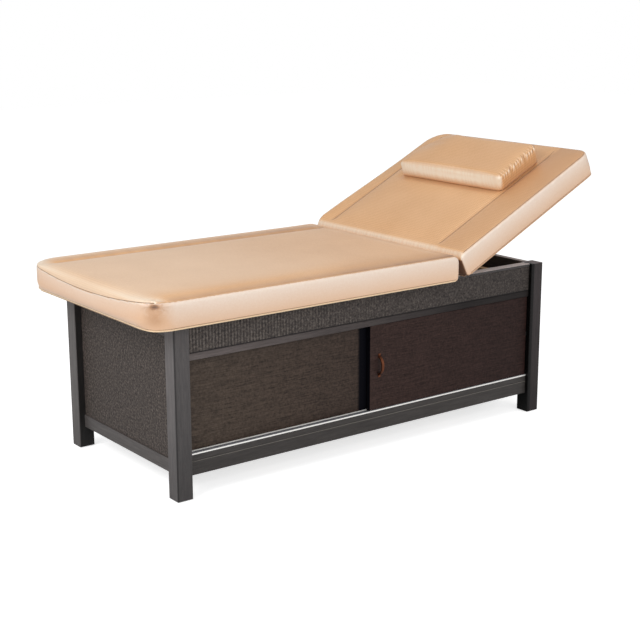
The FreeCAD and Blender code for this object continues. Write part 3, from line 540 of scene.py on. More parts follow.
# the doors: painted light falling off towards the head end, the other door's shadow painted black on the left
# door, and the right door's end face painted black as shade
dress(door_board("wenge_door_left", (0.024, 0.017, 0.013), (0.080, 0.058, 0.044), (-0.62, -0.08, 1.14, 0.80),
                 shadow_start=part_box("door_right")[0][0] - 30 * MM), "door_left")
dress(door_board("wenge_door_right", (0.016, 0.008, 0.006), (0.054, 0.032, 0.026), (-0.5, 0.60, 1.14, 0.64)),
      "door_right")
# the cane is painted darker towards the head end as shade, and the front one shadow-dark along its bottom edge
dress(woven("cane_front", 0, (0.053, 0.042, 0.037), (0.150, 0.128, 0.112), 11 * MM, 0.11,
            shadow_edge=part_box("fascia_front")[0][2] + 3.2 * MM), "fascia_front")
dress(woven("cane_end", 1, (0.048, 0.037, 0.032), (0.155, 0.125, 0.107), 9 * MM, 0.04),
      "panel_foot", "panel_head")
dress(dark_board("dark_board"), "panel_back", "floor_board", "partition")
dress(pale_wood("softwood_along_y", 1), "floor_bearers", "deck_bearers", "stay_rail")
dress(pale_wood("softwood_raised", 0, (0.0, REST, 0.0)), "backrest_batten_front", "backrest_batten_back",
      "backrest_crossbar_hinge", "backrest_crossbar_head")
dress(plywood("birch_plywood"), "deck_board")

# ---- metal and plastic ----
dress(track_metal("drawn_aluminium"), "track_bottom")
dress(metal("copper", (0.19, 0.068, 0.034), (0.08, 0.030, 0.018), 0.40, 2, 0.08), "door_handle")
STEEL = dress(metal("zinc_steel", (0.62, 0.62, 0.63), (0.42, 0.42, 0.43), 0.34, 1, 0.10), "hinge_leaf_seat",
              "hinge_leaf_backrest", "hinge_pin", "stay_bolt_front", "stay_bolt_back", "stay_nut")
BLACK_STEEL = dress(flecked("black_steel", (0.022, 0.022, 0.024), (0.040, 0.040, 0.043), 0.42, 0.06, 420.0,
                            detail=2.0, relief=0.25, metallic=0.6),
                    "stay_quadrant_front", "stay_quadrant_back", "stay_bracket_front", "stay_bracket_back")
dress(flecked("nylon", (0.70, 0.70, 0.68), (0.80, 0.80, 0.78), 0.42), "leg_glides", "door_left_runners",
      "door_left_guides", "door_right_runners", "door_right_guides")
dress(flecked("rubber", (0.020, 0.020, 0.020), (0.036, 0.036, 0.036), 0.70), "door_bumpers")
dress(flecked("black_plastic", (0.018, 0.018, 0.019), (0.034, 0.034, 0.036), 0.40, size=500.0), "stay_knob")

# ---- cloth and thread ----
CLOTH = upholstery("tan_upholstery")
LINING = dress(wrapped("lining_cloth"), "seat_base_board", "backrest_base_board")
SEAM = plain_thread("seam_thread", (0.20, 0.105, 0.060), (0.34, 0.20, 0.12))
PALE_SEAM = plain_thread("seam_thread_pale", (0.47, 0.27, 0.15), (0.62, 0.39, 0.23))
TAN_SEAM = plain_thread("seam_thread_tan", (0.27, 0.15, 0.085), (0.40, 0.24, 0.14))
WELT = plain_thread("welt_piping", (0.72, 0.50, 0.28), (0.84, 0.66, 0.44), 0.42)


# ---- padded pieces ----
def add_object(name, data):
    made = bpy.data.objects.new(name, data)
    bpy.context.scene.collection.objects.link(made)
    return made


def new_piece(name, co, faces, material=None, smooth=False):
    """A new object made of the vertices and faces."""
    mesh = bpy.data.meshes.new(name)
    mesh.from_pydata(np.asarray(co).tolist(), [], faces)
    mesh.update()
    if smooth:
        mesh.shade_smooth()
    if material:
        mesh.materials.append(material)
    return add_object(name, mesh)


def quarter(u, v):
    """Turns the square corner 0..1, 0..1 into a quarter disc, ring by ring."""
    ring = np.maximum(u, v)
    small = np.minimum(u, v) / np.maximum(ring, TINY)
    turn = np.where(u >= v, math.pi / 4 * small, math.pi / 2 - math.pi / 4 * small)
    return ring * np.cos(turn), ring * np.sin(turn)


class Slab:
    """A closed padded block as a grid of quads in its own frame.

    co holds the vertices and rim each one's way from the top edge, below 0 over the top and above 0 down the
    sides. meeting is the x end, -1 or +1, that has no seam because it meets the other cushion, or else 0.
    """

    def __init__(self, low, high, cell, top_edge, low_edge, meeting=0):
        self.low, self.high = low, high
        size = high - low
        counts = np.maximum(4, np.round(size / cell)).astype(int)
        nx, ny, nz = counts
        order, self.faces = {}, []

        def quad(i, j, k, a, b):
            """A face from the grid point (i, j, k) along the axes a and b."""
            keys = [(i + (0 in axes), j + (1 in axes), k + (2 in axes)) for axes in ((), (a,), (a, b), (b,))]
            self.faces.append([order.setdefault(key, len(order)) for key in keys])

        for i in range(nx):
            for j in range(ny):
                quad(i, j, nz, 0, 1)
                quad(i, j, 0, 1, 0)
        for k in range(nz):
            for i in range(nx):
                quad(i, 0, k, 0, 2)
                quad(i, ny, k, 2, 0)
            for j in range(ny):
                quad(0, j, k, 2, 1)
                quad(nx, j, k, 1, 2)
        half = size / 2
        x, y, z = (np.array(list(order), float) / counts * size - half).T
        z += half[2]
        inset = np.minimum(half[0] - np.abs(x), half[1] - np.abs(y))
        to_seam = half[1] - np.abs(y)
        for side in (-1, 1):
            if meeting != side:
                to_seam = np.minimum(to_seam, half[0] - side * x)
        self.rim = np.where(to_seam < TINY, size[2] - z, -to_seam)
        new_inset, new_z = inset.copy(), z.copy()
        for edge, from_top in ((top_edge, True), (low_edge, False)):
            far = size[2] - z if from_top else z
            flat = (far < TINY) & (inset < edge)
            side = (inset < TINY) & (far < edge) & (far > TINY)
            for zone, turn in ((flat, np.arctan(1 - inset[flat] / edge)),
                               (side, math.pi / 2 - np.arctan(1 - far[side] / edge))):
                new_inset[zone] = edge - edge * np.sin(turn)
                drop = edge - edge * np.cos(turn)
                new_z[zone] = size[2] - drop if from_top else drop
        x *= (half[0] - new_inset) / np.maximum(half[0] - inset, TINY)
        y *= (half[1] - new_inset) / np.maximum(half[1] - inset, TINY)
        middle = (low + high) / 2
        self.co = np.stack([x + middle[0], y + middle[1], new_z + low[2]], 1)

    def round_corner(self, axes, ends, radius):
        """Rounds the corner between the ends (-1 or +1) of two axes."""
        edges = [(self.high if end > 0 else self.low)[axis] for axis, end in zip(axes, ends)]
        u, v = (end * (self.co[:, axis] - edge) / radius + 1 for axis, end, edge in zip(axes, ends, edges))
        zone = (u > TINY) & (v > TINY)
        rounded = quarter(np.minimum(u[zone], 1.0), np.minimum(v[zone], 1.0))
        for axis, end, edge, share in zip(axes, ends, edges, rounded):
            self.co[zone, axis] = edge - end * radius * (1 - share)

    def piece(self, name):
        made = new_piece(name, self.co, self.faces)
        keep_value(made, "rim", self.rim)
        return made


def keep_value(piece, name, values):
    """Stores a number or a vector per vertex, for the piece's material."""
    kind, field = ("FLOAT", "value") if np.ndim(values) == 1 else ("FLOAT_VECTOR", "vector")
    made = piece.data.attributes.new(name, kind, "POINT")
    made.data.foreach_set(field, np.asarray(values, np.float32).ravel())


class Surface:
    """The vertices of a padded piece as arrays: their places, directions and way from the top edge."""

    def __init__(self, piece):
        self.piece = piece
        self.co, self.no = vectors(piece.data), vectors(piece.data, "normal")
        rim = np.zeros(len(self.co), np.float32)
        piece.data.attributes["rim"].data.foreach_get("value", rim)
        self.rim = rim.astype(float)
        self.x, self.y, self.z = self.co.T
        self.out_x, self.out_y, self.out_z = self.no.T

    def push(self, shift):
        """Moves every vertex along its direction."""
        self.co += self.no * shift[:, None]

    def finish(self, top, crease, below):
        """Puts the vertices back and stores what the upholstery's material reads."""
        set_vertices(self.piece, self.co)
        keep_value(self.piece, "crease", np.clip(crease, -1, 1))
        keep_value(self.piece, "below", below)
        keep_value(self.piece, "cloth", self.cloth_place(top))
        self.piece.data.materials.append(CLOTH)

    def cloth_place(self, top):
        """Coordinates along the cloth: over the top, and turned down over the sides."""
        place, drop, turned = self.co * [1, 1, 0.2], top - self.z, np.abs(self.no)
        to_y = turned[:, 1] > np.maximum(turned[:, 0], turned[:, 2])
        to_x = turned[:, 0] > np.maximum(turned[:, 1], turned[:, 2])
        place[to_y, 1] += np.sign(self.y[to_y]) * drop[to_y]
        place[to_x, 0] += np.sign(self.out_x[to_x]) * drop[to_x]
        return place


def swell(piece, held, most):
    """Blows the piece up as cloth under air pressure. Held vertices stay, none moves further than most."""
    rest = vectors(piece.data)
    scene = bpy.context.scene
    group = piece.vertex_groups.new(name="held")
    for index in np.nonzero(held > 0.01)[0]:
        group.add([int(index)], float(min(1.0, held[index])), "REPLACE")
    cloth = piece.modifiers.new("swell", "CLOTH")
    for key, value in SWELL_CLOTH.items():
        setattr(cloth.settings, key, value)
    cloth.settings.effector_weights.gravity = 0.0
    cloth.collision_settings.use_collision = False
    cloth.collision_settings.use_self_collision = False
    cloth.point_cache.frame_start, cloth.point_cache.frame_end = 1, SWELL_FRAMES
    for number in range(1, SWELL_FRAMES + 1):
        scene.frame_set(number)
    shown = piece.evaluated_get(bpy.context.evaluated_depsgraph_get())
    step = vectors(shown.data) - rest
    far = reach(step)
    piece.modifiers.remove(cloth)
    piece.vertex_groups.clear()
    scene.frame_set(1)
    limit = np.maximum(most, 1e-6)
    kept = limit * np.tanh(far / limit)
    set_vertices(piece, rest + step * (kept / np.maximum(far, TINY))[:, None])


def divide(piece):
    """Subdivides the piece once into smooth quads and keeps the result in its mesh."""
    level = piece.modifiers.new("divide", "SUBSURF")
    level.levels = level.render_levels = 1
    shown = piece.evaluated_get(bpy.context.evaluated_depsgraph_get())
    mesh = bpy.data.meshes.new_from_object(shown)
    piece.modifiers.clear()
    old = piece.data
    piece.data = mesh
    mesh.name = old.name
    bpy.data.meshes.remove(old)


def settle(piece, home, replaced):
    """Puts a padded piece made in its own frame where it belongs, on its body, and hides the CAD part it
    replaces.
    """
    place, body = home
    piece.data.shade_smooth()
    set_vertices(piece, moved(vectors(piece.data), place))
    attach(piece, body)
    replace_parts(piece, replaced)


# ---- cords, welts and seams that lie on the cloth ----
def outline(low, high, radii, end, step=5 * MM):
    """The way round a cushion from its meeting end along -y, round its free end and back along +y.

    Gives points (x, y) and the outward directions there. end is the free end, -1 or +1 in x, and radii are
    those of its corners at -y and +y.
    """
    half = high[1]
    free, meet = (high[0], low[0]) if end > 0 else (low[0], high[0])
    near, far = radii
    side, bend = abs(free - meet), math.pi / 2
    # of each straight leg and corner: its length, its start or centre, the turn at its start and the radius
    legs = [(side - near, (meet, -half), 0.0, 0.0),
            (bend * near, (free - end * near, near - half), 0.0, near),
            (2 * half - near - far, (free, near - half), bend, 0.0),
            (bend * far, (free - end * far, half - far), bend, far),
            (side - far, (free - end * far, half), 2 * bend, 0.0)]
    total = sum(leg[0] for leg in legs)
    points, outward = [], []
    for d in np.linspace(0, total, int(total / step)):
        k = 0
        while k < 4 and d > legs[k][0]:
            d -= legs[k][0]
            k += 1
        _, (x, y), turn, radius = legs[k]
        turn += d / radius if radius else 0.0
        out = np.array([end * math.sin(turn), -math.cos(turn)])
        along = np.array([end * math.cos(turn), math.sin(turn)])
        points.append((x, y) + (out * radius if radius else along * d))
        outward.append(out)
    return np.array(points), np.array(outward)


def lay_on(piece, origins, directions):
    """Where rays from the origins first meet the piece, with the surface's normals there."""
    tree = BVHTree.FromObject(piece, bpy.context.evaluated_depsgraph_get())
    hits = [tree.ray_cast(Vector(o), Vector(d))[:2] for o, d in zip(origins, directions)]
    spots, normals = zip(*[hit for hit in hits if hit[0] is not None])
    return np.array(spots), np.array(normals)


def evened(values):
    for _ in range(2):
        padded = np.vstack([values[:1], values, values[-1:]])
        values = (padded[:-2] + 2 * padded[1:-1] + padded[2:]) / 4
    return values


def bar(points, normals, width, thickness, lift=0.0, sides=8):
    """Vertices and faces of a flattened bar along the points, upright to the normals."""
    tangent = unit(np.gradient(points, axis=0))
    across = unit(np.cross(tangent, unit(normals)))
    up = np.cross(across, tangent)
    middle = points + up * lift
    turns = [math.tau * k / sides for k in range(sides)]
    rings = [middle + across * (math.cos(a) * width / 2) + up * (math.sin(a) * thickness / 2) for a in turns]
    return skin(np.stack(rings, 1))


def skin(rings, closed=True):
    """Vertices and faces of a skin over rings of points. Without closed, the first ring stays open."""
    rows, sides = len(rings), len(rings[0])
    faces = [(i + k, i + (k + 1) % sides, i + sides + (k + 1) % sides, i + sides + k)
             for i in range(0, (rows - 1) * sides, sides) for k in range(sides)]
    if closed:
        faces.append(tuple(range(sides))[::-1])
    faces.append(tuple(range((rows - 1) * sides, rows * sides)))
    return np.reshape(rings, (-1, 3)), faces


def small_piece(name, co, faces, material, home, slot, smooth=True):
    """Puts a small rigid or sewn piece on its body, with its material."""
    place, body = home
    piece = new_piece(name, moved(co, place), faces, material, smooth)
    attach(piece, body)
    return piece


def cord(name, laid, width, thickness, material, home, lift=0.0):
    """A thin flattened cord that lies on the cloth along the spots and normals that lay_on gives."""
    spots, normals = (evened(rows) for rows in laid)
    small_piece(name, *bar(spots, normals, width, thickness, lift), material, home, "upholstery")


def gathered(parts):
    """Joins vertices and faces of many small shapes."""
    all_co, all_faces, count = [], [], 0
    for co, faces in parts:
        all_co.append(co)
        all_faces += [tuple(i + count for i in face) for face in faces]
        count += len(co)
    return np.vstack(all_co), all_faces


def edge_rays(points, outward, top, level):
    """Rays that meet the top edge, or the side where the seam's level is below it."""
    tilt = math.pi / 4 * (1 - rise(level, 0.0, 14 * MM))
    direction = np.column_stack([-outward * np.cos(tilt)[:, None], -np.sin(tilt)])
    return np.column_stack([points, top - level]) - direction * RAY_START, direction


# ---- staples under the linings and screws in the wood ----
STAPLE_HALF = 5 * MM
STAPLE_BEND = ((-1.0, -0.7), (-0.92, 0.3), (0.0, 0.4), (0.92, 0.3), (1.0, -0.7))
SCREW_RADIUS = 3.4 * MM
SCREW_RISE = 1.5 * MM
SCREW_SIDES = 16
SCREW_RINGS = ((1.0, -0.3), (1.0, 0.25), (0.86, 0.7), (0.55, 0.95), (0.0, 1.0), (0.0, 0.35))


def staples(name, low, high, radius, end, home):
    """Wire staples along the edge of a lining, on its underside."""
    points, outward = outline(low + 9 * MM, high - 9 * MM, (radius, radius), end, 46 * MM)
    down = np.array([0.0, 0.0, -1.0])
    parts = []
    for (x, y), (out_x, out_y) in zip(points[1:-1], outward[1:-1]):
        along = np.array([-out_y, out_x, 0.0]) * STAPLE_HALF
        path = np.array([(x, y, low[2]) + along * a + down * b * MM for a, b in STAPLE_BEND])
        parts.append(bar(path, np.tile(down, (len(path), 1)), 1.1 * MM, 0.7 * MM, sides=6))
    small_piece(name, *gathered(parts), STEEL, home, "steel")


def screw_head(spot, normal):
    """A domed head with a cross recess."""
    turn = np.array(Vector(normal).to_track_quat("Z", "Y").to_matrix())
    sides = np.arange(SCREW_SIDES)
    way = np.stack([np.cos(math.tau * sides / SCREW_SIDES), np.sin(math.tau * sides / SCREW_SIDES)], 1)
    cross = np.where(sides % (SCREW_SIDES // 4), 0.12, 0.46)[:, None]
    rings = [np.insert(way * (radius or cross) * SCREW_RADIUS, 2, height * SCREW_RISE, axis=1)
             for radius, height in SCREW_RINGS]
    co, faces = skin(rings, closed=False)
    return co @ turn.T + spot, faces


def screws(node, origins, direction, material, slot, body, name=None):
    """Screw heads on a CAD node, where rays from the origins meet it."""
    laid = lay_on(NODES[node], origins, [direction] * len(origins))
    parts = [screw_head(spot, normal) for spot, normal in zip(*laid)]
    small_piece(name or node + "_screws", *gathered(parts), material, (UPRIGHT, body), slot)


def all_screws():
    low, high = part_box("panel_back")
    rim = 11 * MM
    left, right, bottom, top = low[0] + rim, high[0] - rim, low[2] + rim, high[2] - rim
    spots = [(x, z) for x in np.linspace(left, right, 8) for z in (bottom, top)]
    spots += [(x, (bottom + top) / 2) for x in (left, right)]
    screws("panel_back", [(x, high[1] + RAY_START, z) for x, z in spots], (0, -1, 0), BLACK_STEEL,
           "black_steel", "cabinet", "back_panel_screws")
    under = RAISED.to_3x3() @ Vector((0, 0, 1))
    for kind, ends, axis, shares in (("batten", ("front", "back"), 0, (0.3, 0.7)),
                                     ("crossbar", ("hinge", "head"), 1, (0.15, 0.5, 0.85))):
        for end in ends:
            node = f"backrest_{kind}_{end}"
            low, high = local_box(node, RAISED)
            origins = np.tile((low + high) / 2, (len(shares), 1))
            origins[:, axis] = low[axis] + np.array(shares) * (high - low)[axis]
            origins[:, 2] = low[2] - 0.05
            screws(node, moved(origins, RAISED), under, STEEL, "steel", "backrest")
    for node in ("stay_bracket_front", "stay_bracket_back"):
        low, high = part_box(node)
        outer = high[1] if high[1] > 0 else low[1]
        y = outer - math.copysign(8 * MM, outer)
        spots = [(low[0] - 0.05, y, low[2] + share * (high[2] - low[2])) for share in (0.22, 0.78)]
        screws(node, spots, (1, 0, 0), STEEL, "steel", "cabinet")


# ---- cushions ----
def under_pillow(co):
    """How far each point of the backrest lies under the pillow, 0 to 1."""
    low, high = local_box("pillow", RAISED)
    share = rise(co - low, -30 * MM, 30 * MM) * rise(high - co, -30 * MM, 30 * MM)
    return share[:, 0] * share[:, 1]


class Cushion:
    """A cushion in its own frame, with its box a little smaller than in CAD so that it can swell.

    end is the x direction of its free end, radii are those of the corners there, and seams the places of the
    seams along the top. level says how far the sewn edge lies below the top edge.
    """

    def __init__(self, name, end, radii, seams, level, home):
        self.name, self.end, self.home = name, end, home
        self.radii, self.seams, self.level = radii, seams, level
        self.low, self.high = local_box(name + "_cushion", home[0])
        self.low[2] = local_box(name + "_base_board", home[0])[0][2] + BOARD_GAP
        self.low += [CUSHION_SINK if end < 0 else MEETING_SINK, CUSHION_SINK, 0]
        self.high -= [MEETING_SINK if end < 0 else CUSHION_SINK, CUSHION_SINK, CUSHION_SINK]
        self.meet = self.high[0] if end < 0 else self.low[0]

    def from_hinge(self, x):
        return self.end * (x - self.meet)

    def blown_up(self, *edges):
        """The swollen upholstery. edges gives the x and z ends of edges across the bed and their radii."""
        slab = Slab(self.low, self.high, CUSHION_CELL, 9 * MM, 3 * MM, meeting=-self.end)
        for side, radius in zip((-1, 1), self.radii):
            slab.round_corner((0, 1), (self.end, side), radius)
            slab.round_corner((0, 1), (-self.end, side), MEETING_CORNER)
        for ends, radius in edges:
            slab.round_corner((0, 2), ends, radius)
        piece = slab.piece(self.name + "_upholstery")
        s = Surface(piece)
        away = rise(self.from_hinge(s.x), *STIFF_END)
        on_top = rise(s.out_z, 0.2, 0.5)
        held = [ridge(s.y - seam, 9 * MM) * on_top for seam in self.seams]
        held += [ridge(s.rim - self.level(s.x, s.y), 6 * MM), 1.0 * (s.z < self.low[2] + 6 * MM), 1 - away]
        most = (SIDE_SWELL + (SEAT_SWELL - SIDE_SWELL) * on_top) * away
        under = on_top * under_pillow(s.co) if self.end > 0 else 0.0
        swell(piece, np.maximum.reduce(held), most * (1 - under) + PILLOW_DENT * under)
        divide(piece)
        return Surface(piece)

    def sew_top(self, piece, name, y, start, stop, count, width):
        """A seam straight along the top, between margins from its low and high end."""
        xs = np.linspace(self.low[0] + start, self.high[0] - stop, count)
        laid = lay_on(piece, [(x, y, self.high[2] + RAY_START) for x in xs], [(0, 0, -1)] * count)
        cord(name, laid, width, width - 0.6 * MM, SEAM, self.home)

    def sew_edges(self, piece, side_thread, piping):
        """The sewn top edge and the piping along the bottom edge."""
        points, outward = outline(self.low, self.high, self.radii, self.end)
        keep = self.from_hinge(points[:, 0]) > 14 * MM
        points, outward = points[keep], outward[keep]
        levels = self.level(points[:, 0], points[:, 1])
        side = np.abs(outward[:, 1]) > 0.8
        for word, part, thread in (("end", ~side, SEAM), ("near", side & (outward[:, 1] < 0), side_thread),
                                   ("far", side & (outward[:, 1] > 0), side_thread)):
            rays = edge_rays(points[part], outward[part], self.high[2] + 3 * MM, levels[part])
            cord(f"{self.name}_seam_{word}", lay_on(piece, *rays), 2.2 * MM, 1.5 * MM, thread, self.home)
        inward = np.column_stack([-outward, np.zeros(len(points))])
        for word, height, *size in (("seam", 8.0 * MM, 1.6 * MM, 1.0 * MM, SEAM, self.home),
                                    ("piping", 4.2 * MM, 4.2 * MM, 4.2 * MM, piping, self.home, 0.2 * MM)):
            level = np.full(len(points), self.low[2] + height)
            origins = np.column_stack([points + outward * RAY_START, level])
            cord(f"{self.name}_bottom_{word}", lay_on(piece, origins, inward), *size)

    def underside(self, free_margin, radius, staple_radius):
        """The lining cloth under the cushion, which stands for its base board, with its staples."""
        node = self.name + "_base_board"
        low, high = local_box(node, self.home[0])
        margins = (free_margin, LINING_JOINT) if self.end < 0 else (LINING_JOINT, free_margin)
        low += [margins[0], LINING_MARGIN, 0]
        high -= [margins[1], LINING_MARGIN, 0]
        points, _ = outline(low, high, (radius, radius), self.end, 12 * MM)
        rings = [[(x, y, z) for x, y in points] for z in (low[2], low[2] + LINING_THICKNESS)]
        name = self.name + "_lining"
        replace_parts(small_piece(name, *skin(rings), LINING, self.home, "wrapped_board", smooth=False), node)
        staples(self.name + "_staples", low, high, staple_radius, self.end, self.home)


# ---- seat cushion ----
def seat_level(x, y):
    """How far the seam lies below the top edge: it dips on the foot face and rises to the corners."""
    foot = 1 - rise(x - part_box("seat_cushion")[0][0], 10 * MM, 60 * MM)
    return foot * np.maximum(FOOT_SEAM_DROP - FOOT_SEAM_RISE * (y / (330 * MM)) ** 2, 0.0)


def seat_cushion():
    seat = Cushion("seat", -1, FOOT_CORNERS, (SEAT_FAR_SEAM,), seat_level, ON_CABINET)
    low, high = seat.low, seat.high
    s = seat.blown_up(((1, 1), 24 * MM), ((1, -1), 16 * MM), ((-1, -1), 30 * MM))
    on_top = rise(s.out_z, 0.3, 0.5)
    ends = rise(seat.from_hinge(s.x), 20 * MM, 60 * MM)
    past_foot = rise(s.x - low[0], 30 * MM, 60 * MM)
    far, near = s.y - SEAT_FAR_SEAM, s.y - SEAT_NEAR_CREASE
    below = s.rim - seat_level(s.x, s.y)
    open_top = on_top * ends * past_foot
    shift = -(ridge(far, 12 * MM) * 5.0 * MM + ridge(near, 26 * MM) * 1.6 * MM) * open_top
    shift -= ridge(below, 5 * MM) * 1.6 * MM * rise(seat.from_hinge(s.x), *SEWN_END)
    shift += ridge(below + 14 * MM, 9 * MM) * rise(-s.out_x, 0.0, 0.4) * 2.0 * MM
    shift += gathered_corners(s) + near_gathers(s, below)
    s.push(shift)
    crease = seat_painted_light(s, high, far, below, on_top, ends, past_foot)
    # on the foot face the band is painted darker, as shade
    s.finish(high[2], crease, below + 40 * MM * (below > 1 * MM) * (1 - past_foot))
    keep_value(s.piece, "gather", corner_folds(s, below))
    seat.sew_top(s.piece, "seat_far_seam", SEAT_FAR_SEAM, 60 * MM, 30 * MM, 150, 1.8 * MM)
    seat.sew_edges(s.piece, PALE_SEAM, WELT)
    settle(s.piece, seat.home, "seat_cushion")
    seat.underside(LINING_MARGIN, 74 * MM, 66 * MM)


def gathered_corners(s):
    """The dents and folds of the gathered corners at the foot end."""
    shift = 0.0
    for spot, strength in ((NEAR_PUCKER, 1.0), (FAR_PUCKER, 0.5)):
        away = s.co - spot
        around = np.arctan2(away[:, 2], away[:, 0] * 0.7 - away[:, 1] * 0.7 * np.sign(spot[1]))
        folds = np.sin(around * 7 + 0.8) * ridge(reach(away) - 24 * MM, 16 * MM) * 1.2 * MM
        shift += strength * (folds - ridge(reach(away), 12 * MM) * 5.5 * MM)
    return shift


def near_gathers(s, below):
    """Small gathers that run along the near seam from the near corner."""
    along = s.x - NEAR_PUCKER[0]
    gathers = np.sin(along * math.tau / (17 * MM) + 2 * np.sin(along * 31))
    fading = 0.25 + 0.75 * np.exp(-np.abs(along) / (170 * MM))
    return gathers * ridge(below - 2 * MM, 7 * MM) * (s.out_y < -0.2) * fading * 1.1 * MM


def seat_painted_light(s, high, far, below, on_top, ends, past_foot):
    """Painted shade on the seat's cloth above 0, and painted highlights below 0."""
    top_side = on_top * (below < 0)
    # painted shade along the far seam's valley and by the near edge, wobbling a little along the bed
    shade_wobble = 0.92 + 0.12 * np.sin(s.x * 31 + 2 * np.sin(s.x * 57))
    valley = np.maximum(ridge(far - 2 * MM, 15 * MM), 0.85 * ridge(far - 26 * MM, 26 * MM))
    crease = 0.54 * shade_wobble * valley * on_top * ends * past_foot
    from_near = np.maximum(s.y + high[1] - 6 * MM, 0.0)
    near_shade = 0.27 * ridge(from_near, 80 * MM) + 0.32 * shade_wobble * ridge(from_near, 26 * MM)
    crease += near_shade * top_side * past_foot
    # painted highlights towards the foot end, on the roll over the foot seam and beside the far valley; painted
    # shade by the hinge
    crease -= 0.22 * rise(-s.x, -0.1, 0.7) * top_side
    crease -= 0.42 * ridge(below + 15 * MM, 21 * MM) * (below < 0) * (1 - past_foot)
    crease -= 0.16 * ridge(far - 80 * MM, 20 * MM) * on_top
    crease += 0.20 * ridge(high[0] - s.x, 70 * MM) * top_side
    # the gathered corners: painted shade in the near one's tuck and soft painted shade on the corner under it,
    # and painted shade at the far one
    away = s.co - NEAR_PUCKER
    tuck = reach(away * [0.6, 0.6, 1.15])
    corner = ridge((away[:, 0] - away[:, 1]) * 0.7, 30 * MM) * ridge(away[:, 2] + 36 * MM, 24 * MM)
    corner *= reach(away) < 120 * MM
    crease += 0.85 * ridge(tuck, 7 * MM) + 0.30 * ridge(tuck, 20 * MM) + 0.36 * corner
    return crease + 0.5 * ridge(reach(s.co - FAR_PUCKER), 9 * MM)


def corner_folds(s, below):
    """For the material: the place round each gathered corner, and how strongly the painted light and shade of
    its folds run out of it.
    """
    gather = np.zeros((len(s.co), 3))
    for spot, strength in ((NEAR_PUCKER, 1.0), (FAR_PUCKER, 0.6)):
        away = s.co - spot
        across = (away[:, 0] - away[:, 1] * np.sign(spot[1])) * 0.7
        fading = strength * ridge(reach(away) - 14 * MM, 22 * MM) * np.where(below > 0, 0.35, 1.0)
        here = reach(away) < 80 * MM
        gather[here] = np.column_stack([across, away[:, 2], fading])[here]
    return gather


# ---- backrest cushion ----
def backrest_cushion():
    backrest = Cushion("backrest", 1, HEAD_CORNERS, (BACKREST_FAR_SEAM, BACKREST_NEAR_SEAM),
                       lambda x, y: np.zeros(len(x)), ON_BACKREST)
    low, high = backrest.low, backrest.high
    s = backrest.blown_up(((-1, 1), 24 * MM), ((1, -1), 26 * MM))
    from_hinge = backrest.from_hinge(s.x)
    on_top = rise(s.out_z, 0.3, 0.5)
    ends = rise(from_hinge, 26 * MM, 30 * MM) * rise(high[0] - s.x, 40 * MM, 40 * MM)
    far, near = s.y - BACKREST_FAR_SEAM, s.y - BACKREST_NEAR_SEAM
    free = rise(from_hinge, *SEWN_END)
    shift = -(ridge(far, 9 * MM) + ridge(near, 9 * MM)) * on_top * ends * 3.0 * MM
    shift -= ridge(s.rim, 5 * MM) * 1.6 * MM * free
    ripple = np.sin(s.x * math.tau / (46 * MM) + 1.7 * np.sin(s.x * 23))
    shift += ripple * ridge(s.rim - 4 * MM, 8 * MM) * (s.out_y < -0.2) * free * 0.7 * MM
    # the far side bulges towards the hinge
    shift += rise(from_hinge, 8 * MM, 40 * MM) * rise(-s.x, -0.5, 0.45) * rise(far, 8 * MM, 60 * MM) * 9 * MM
    s.push(shift)
    # painted shade in the seams, over the top and on the near strip; a painted highlight along the rounded
    # hinge edge; the hinge end face painted dark as shade
    crease = 0.3 * (ridge(far, 6 * MM) + ridge(near, 6 * MM)) * on_top * ends
    strip = on_top * rise(BACKREST_NEAR_SEAM - s.y, 0.0, 20 * MM)
    crease += 0.04 * on_top + strip * (0.15 + 0.14 * rise(s.x, 0.15, 0.35))
    bright = 0.82 + 0.12 * np.sin(s.y * 420 + 2 * np.sin(s.y * 97))
    crease -= 0.85 * bright * ridge(s.x - low[0] - 11 * MM, 9 * MM) * rise(s.out_z, 0.1, 0.3)
    crease += 1.1 * (s.out_z < 0.1) * (s.x < low[0] + 8 * MM) * (np.abs(s.out_y) < 0.7)
    s.finish(high[2], crease, s.rim)
    backrest.sew_top(s.piece, "backrest_far_seam", BACKREST_FAR_SEAM, 30 * MM, 34 * MM, 110, 2.0 * MM)
    backrest.sew_top(s.piece, "backrest_near_seam", BACKREST_NEAR_SEAM, 30 * MM, 34 * MM, 110, 2.0 * MM)
    backrest.sew_edges(s.piece, TAN_SEAM, PALE_SEAM)
    settle(s.piece, backrest.home, "backrest_cushion")
    backrest.underside(30 * MM, 30 * MM, 24 * MM)


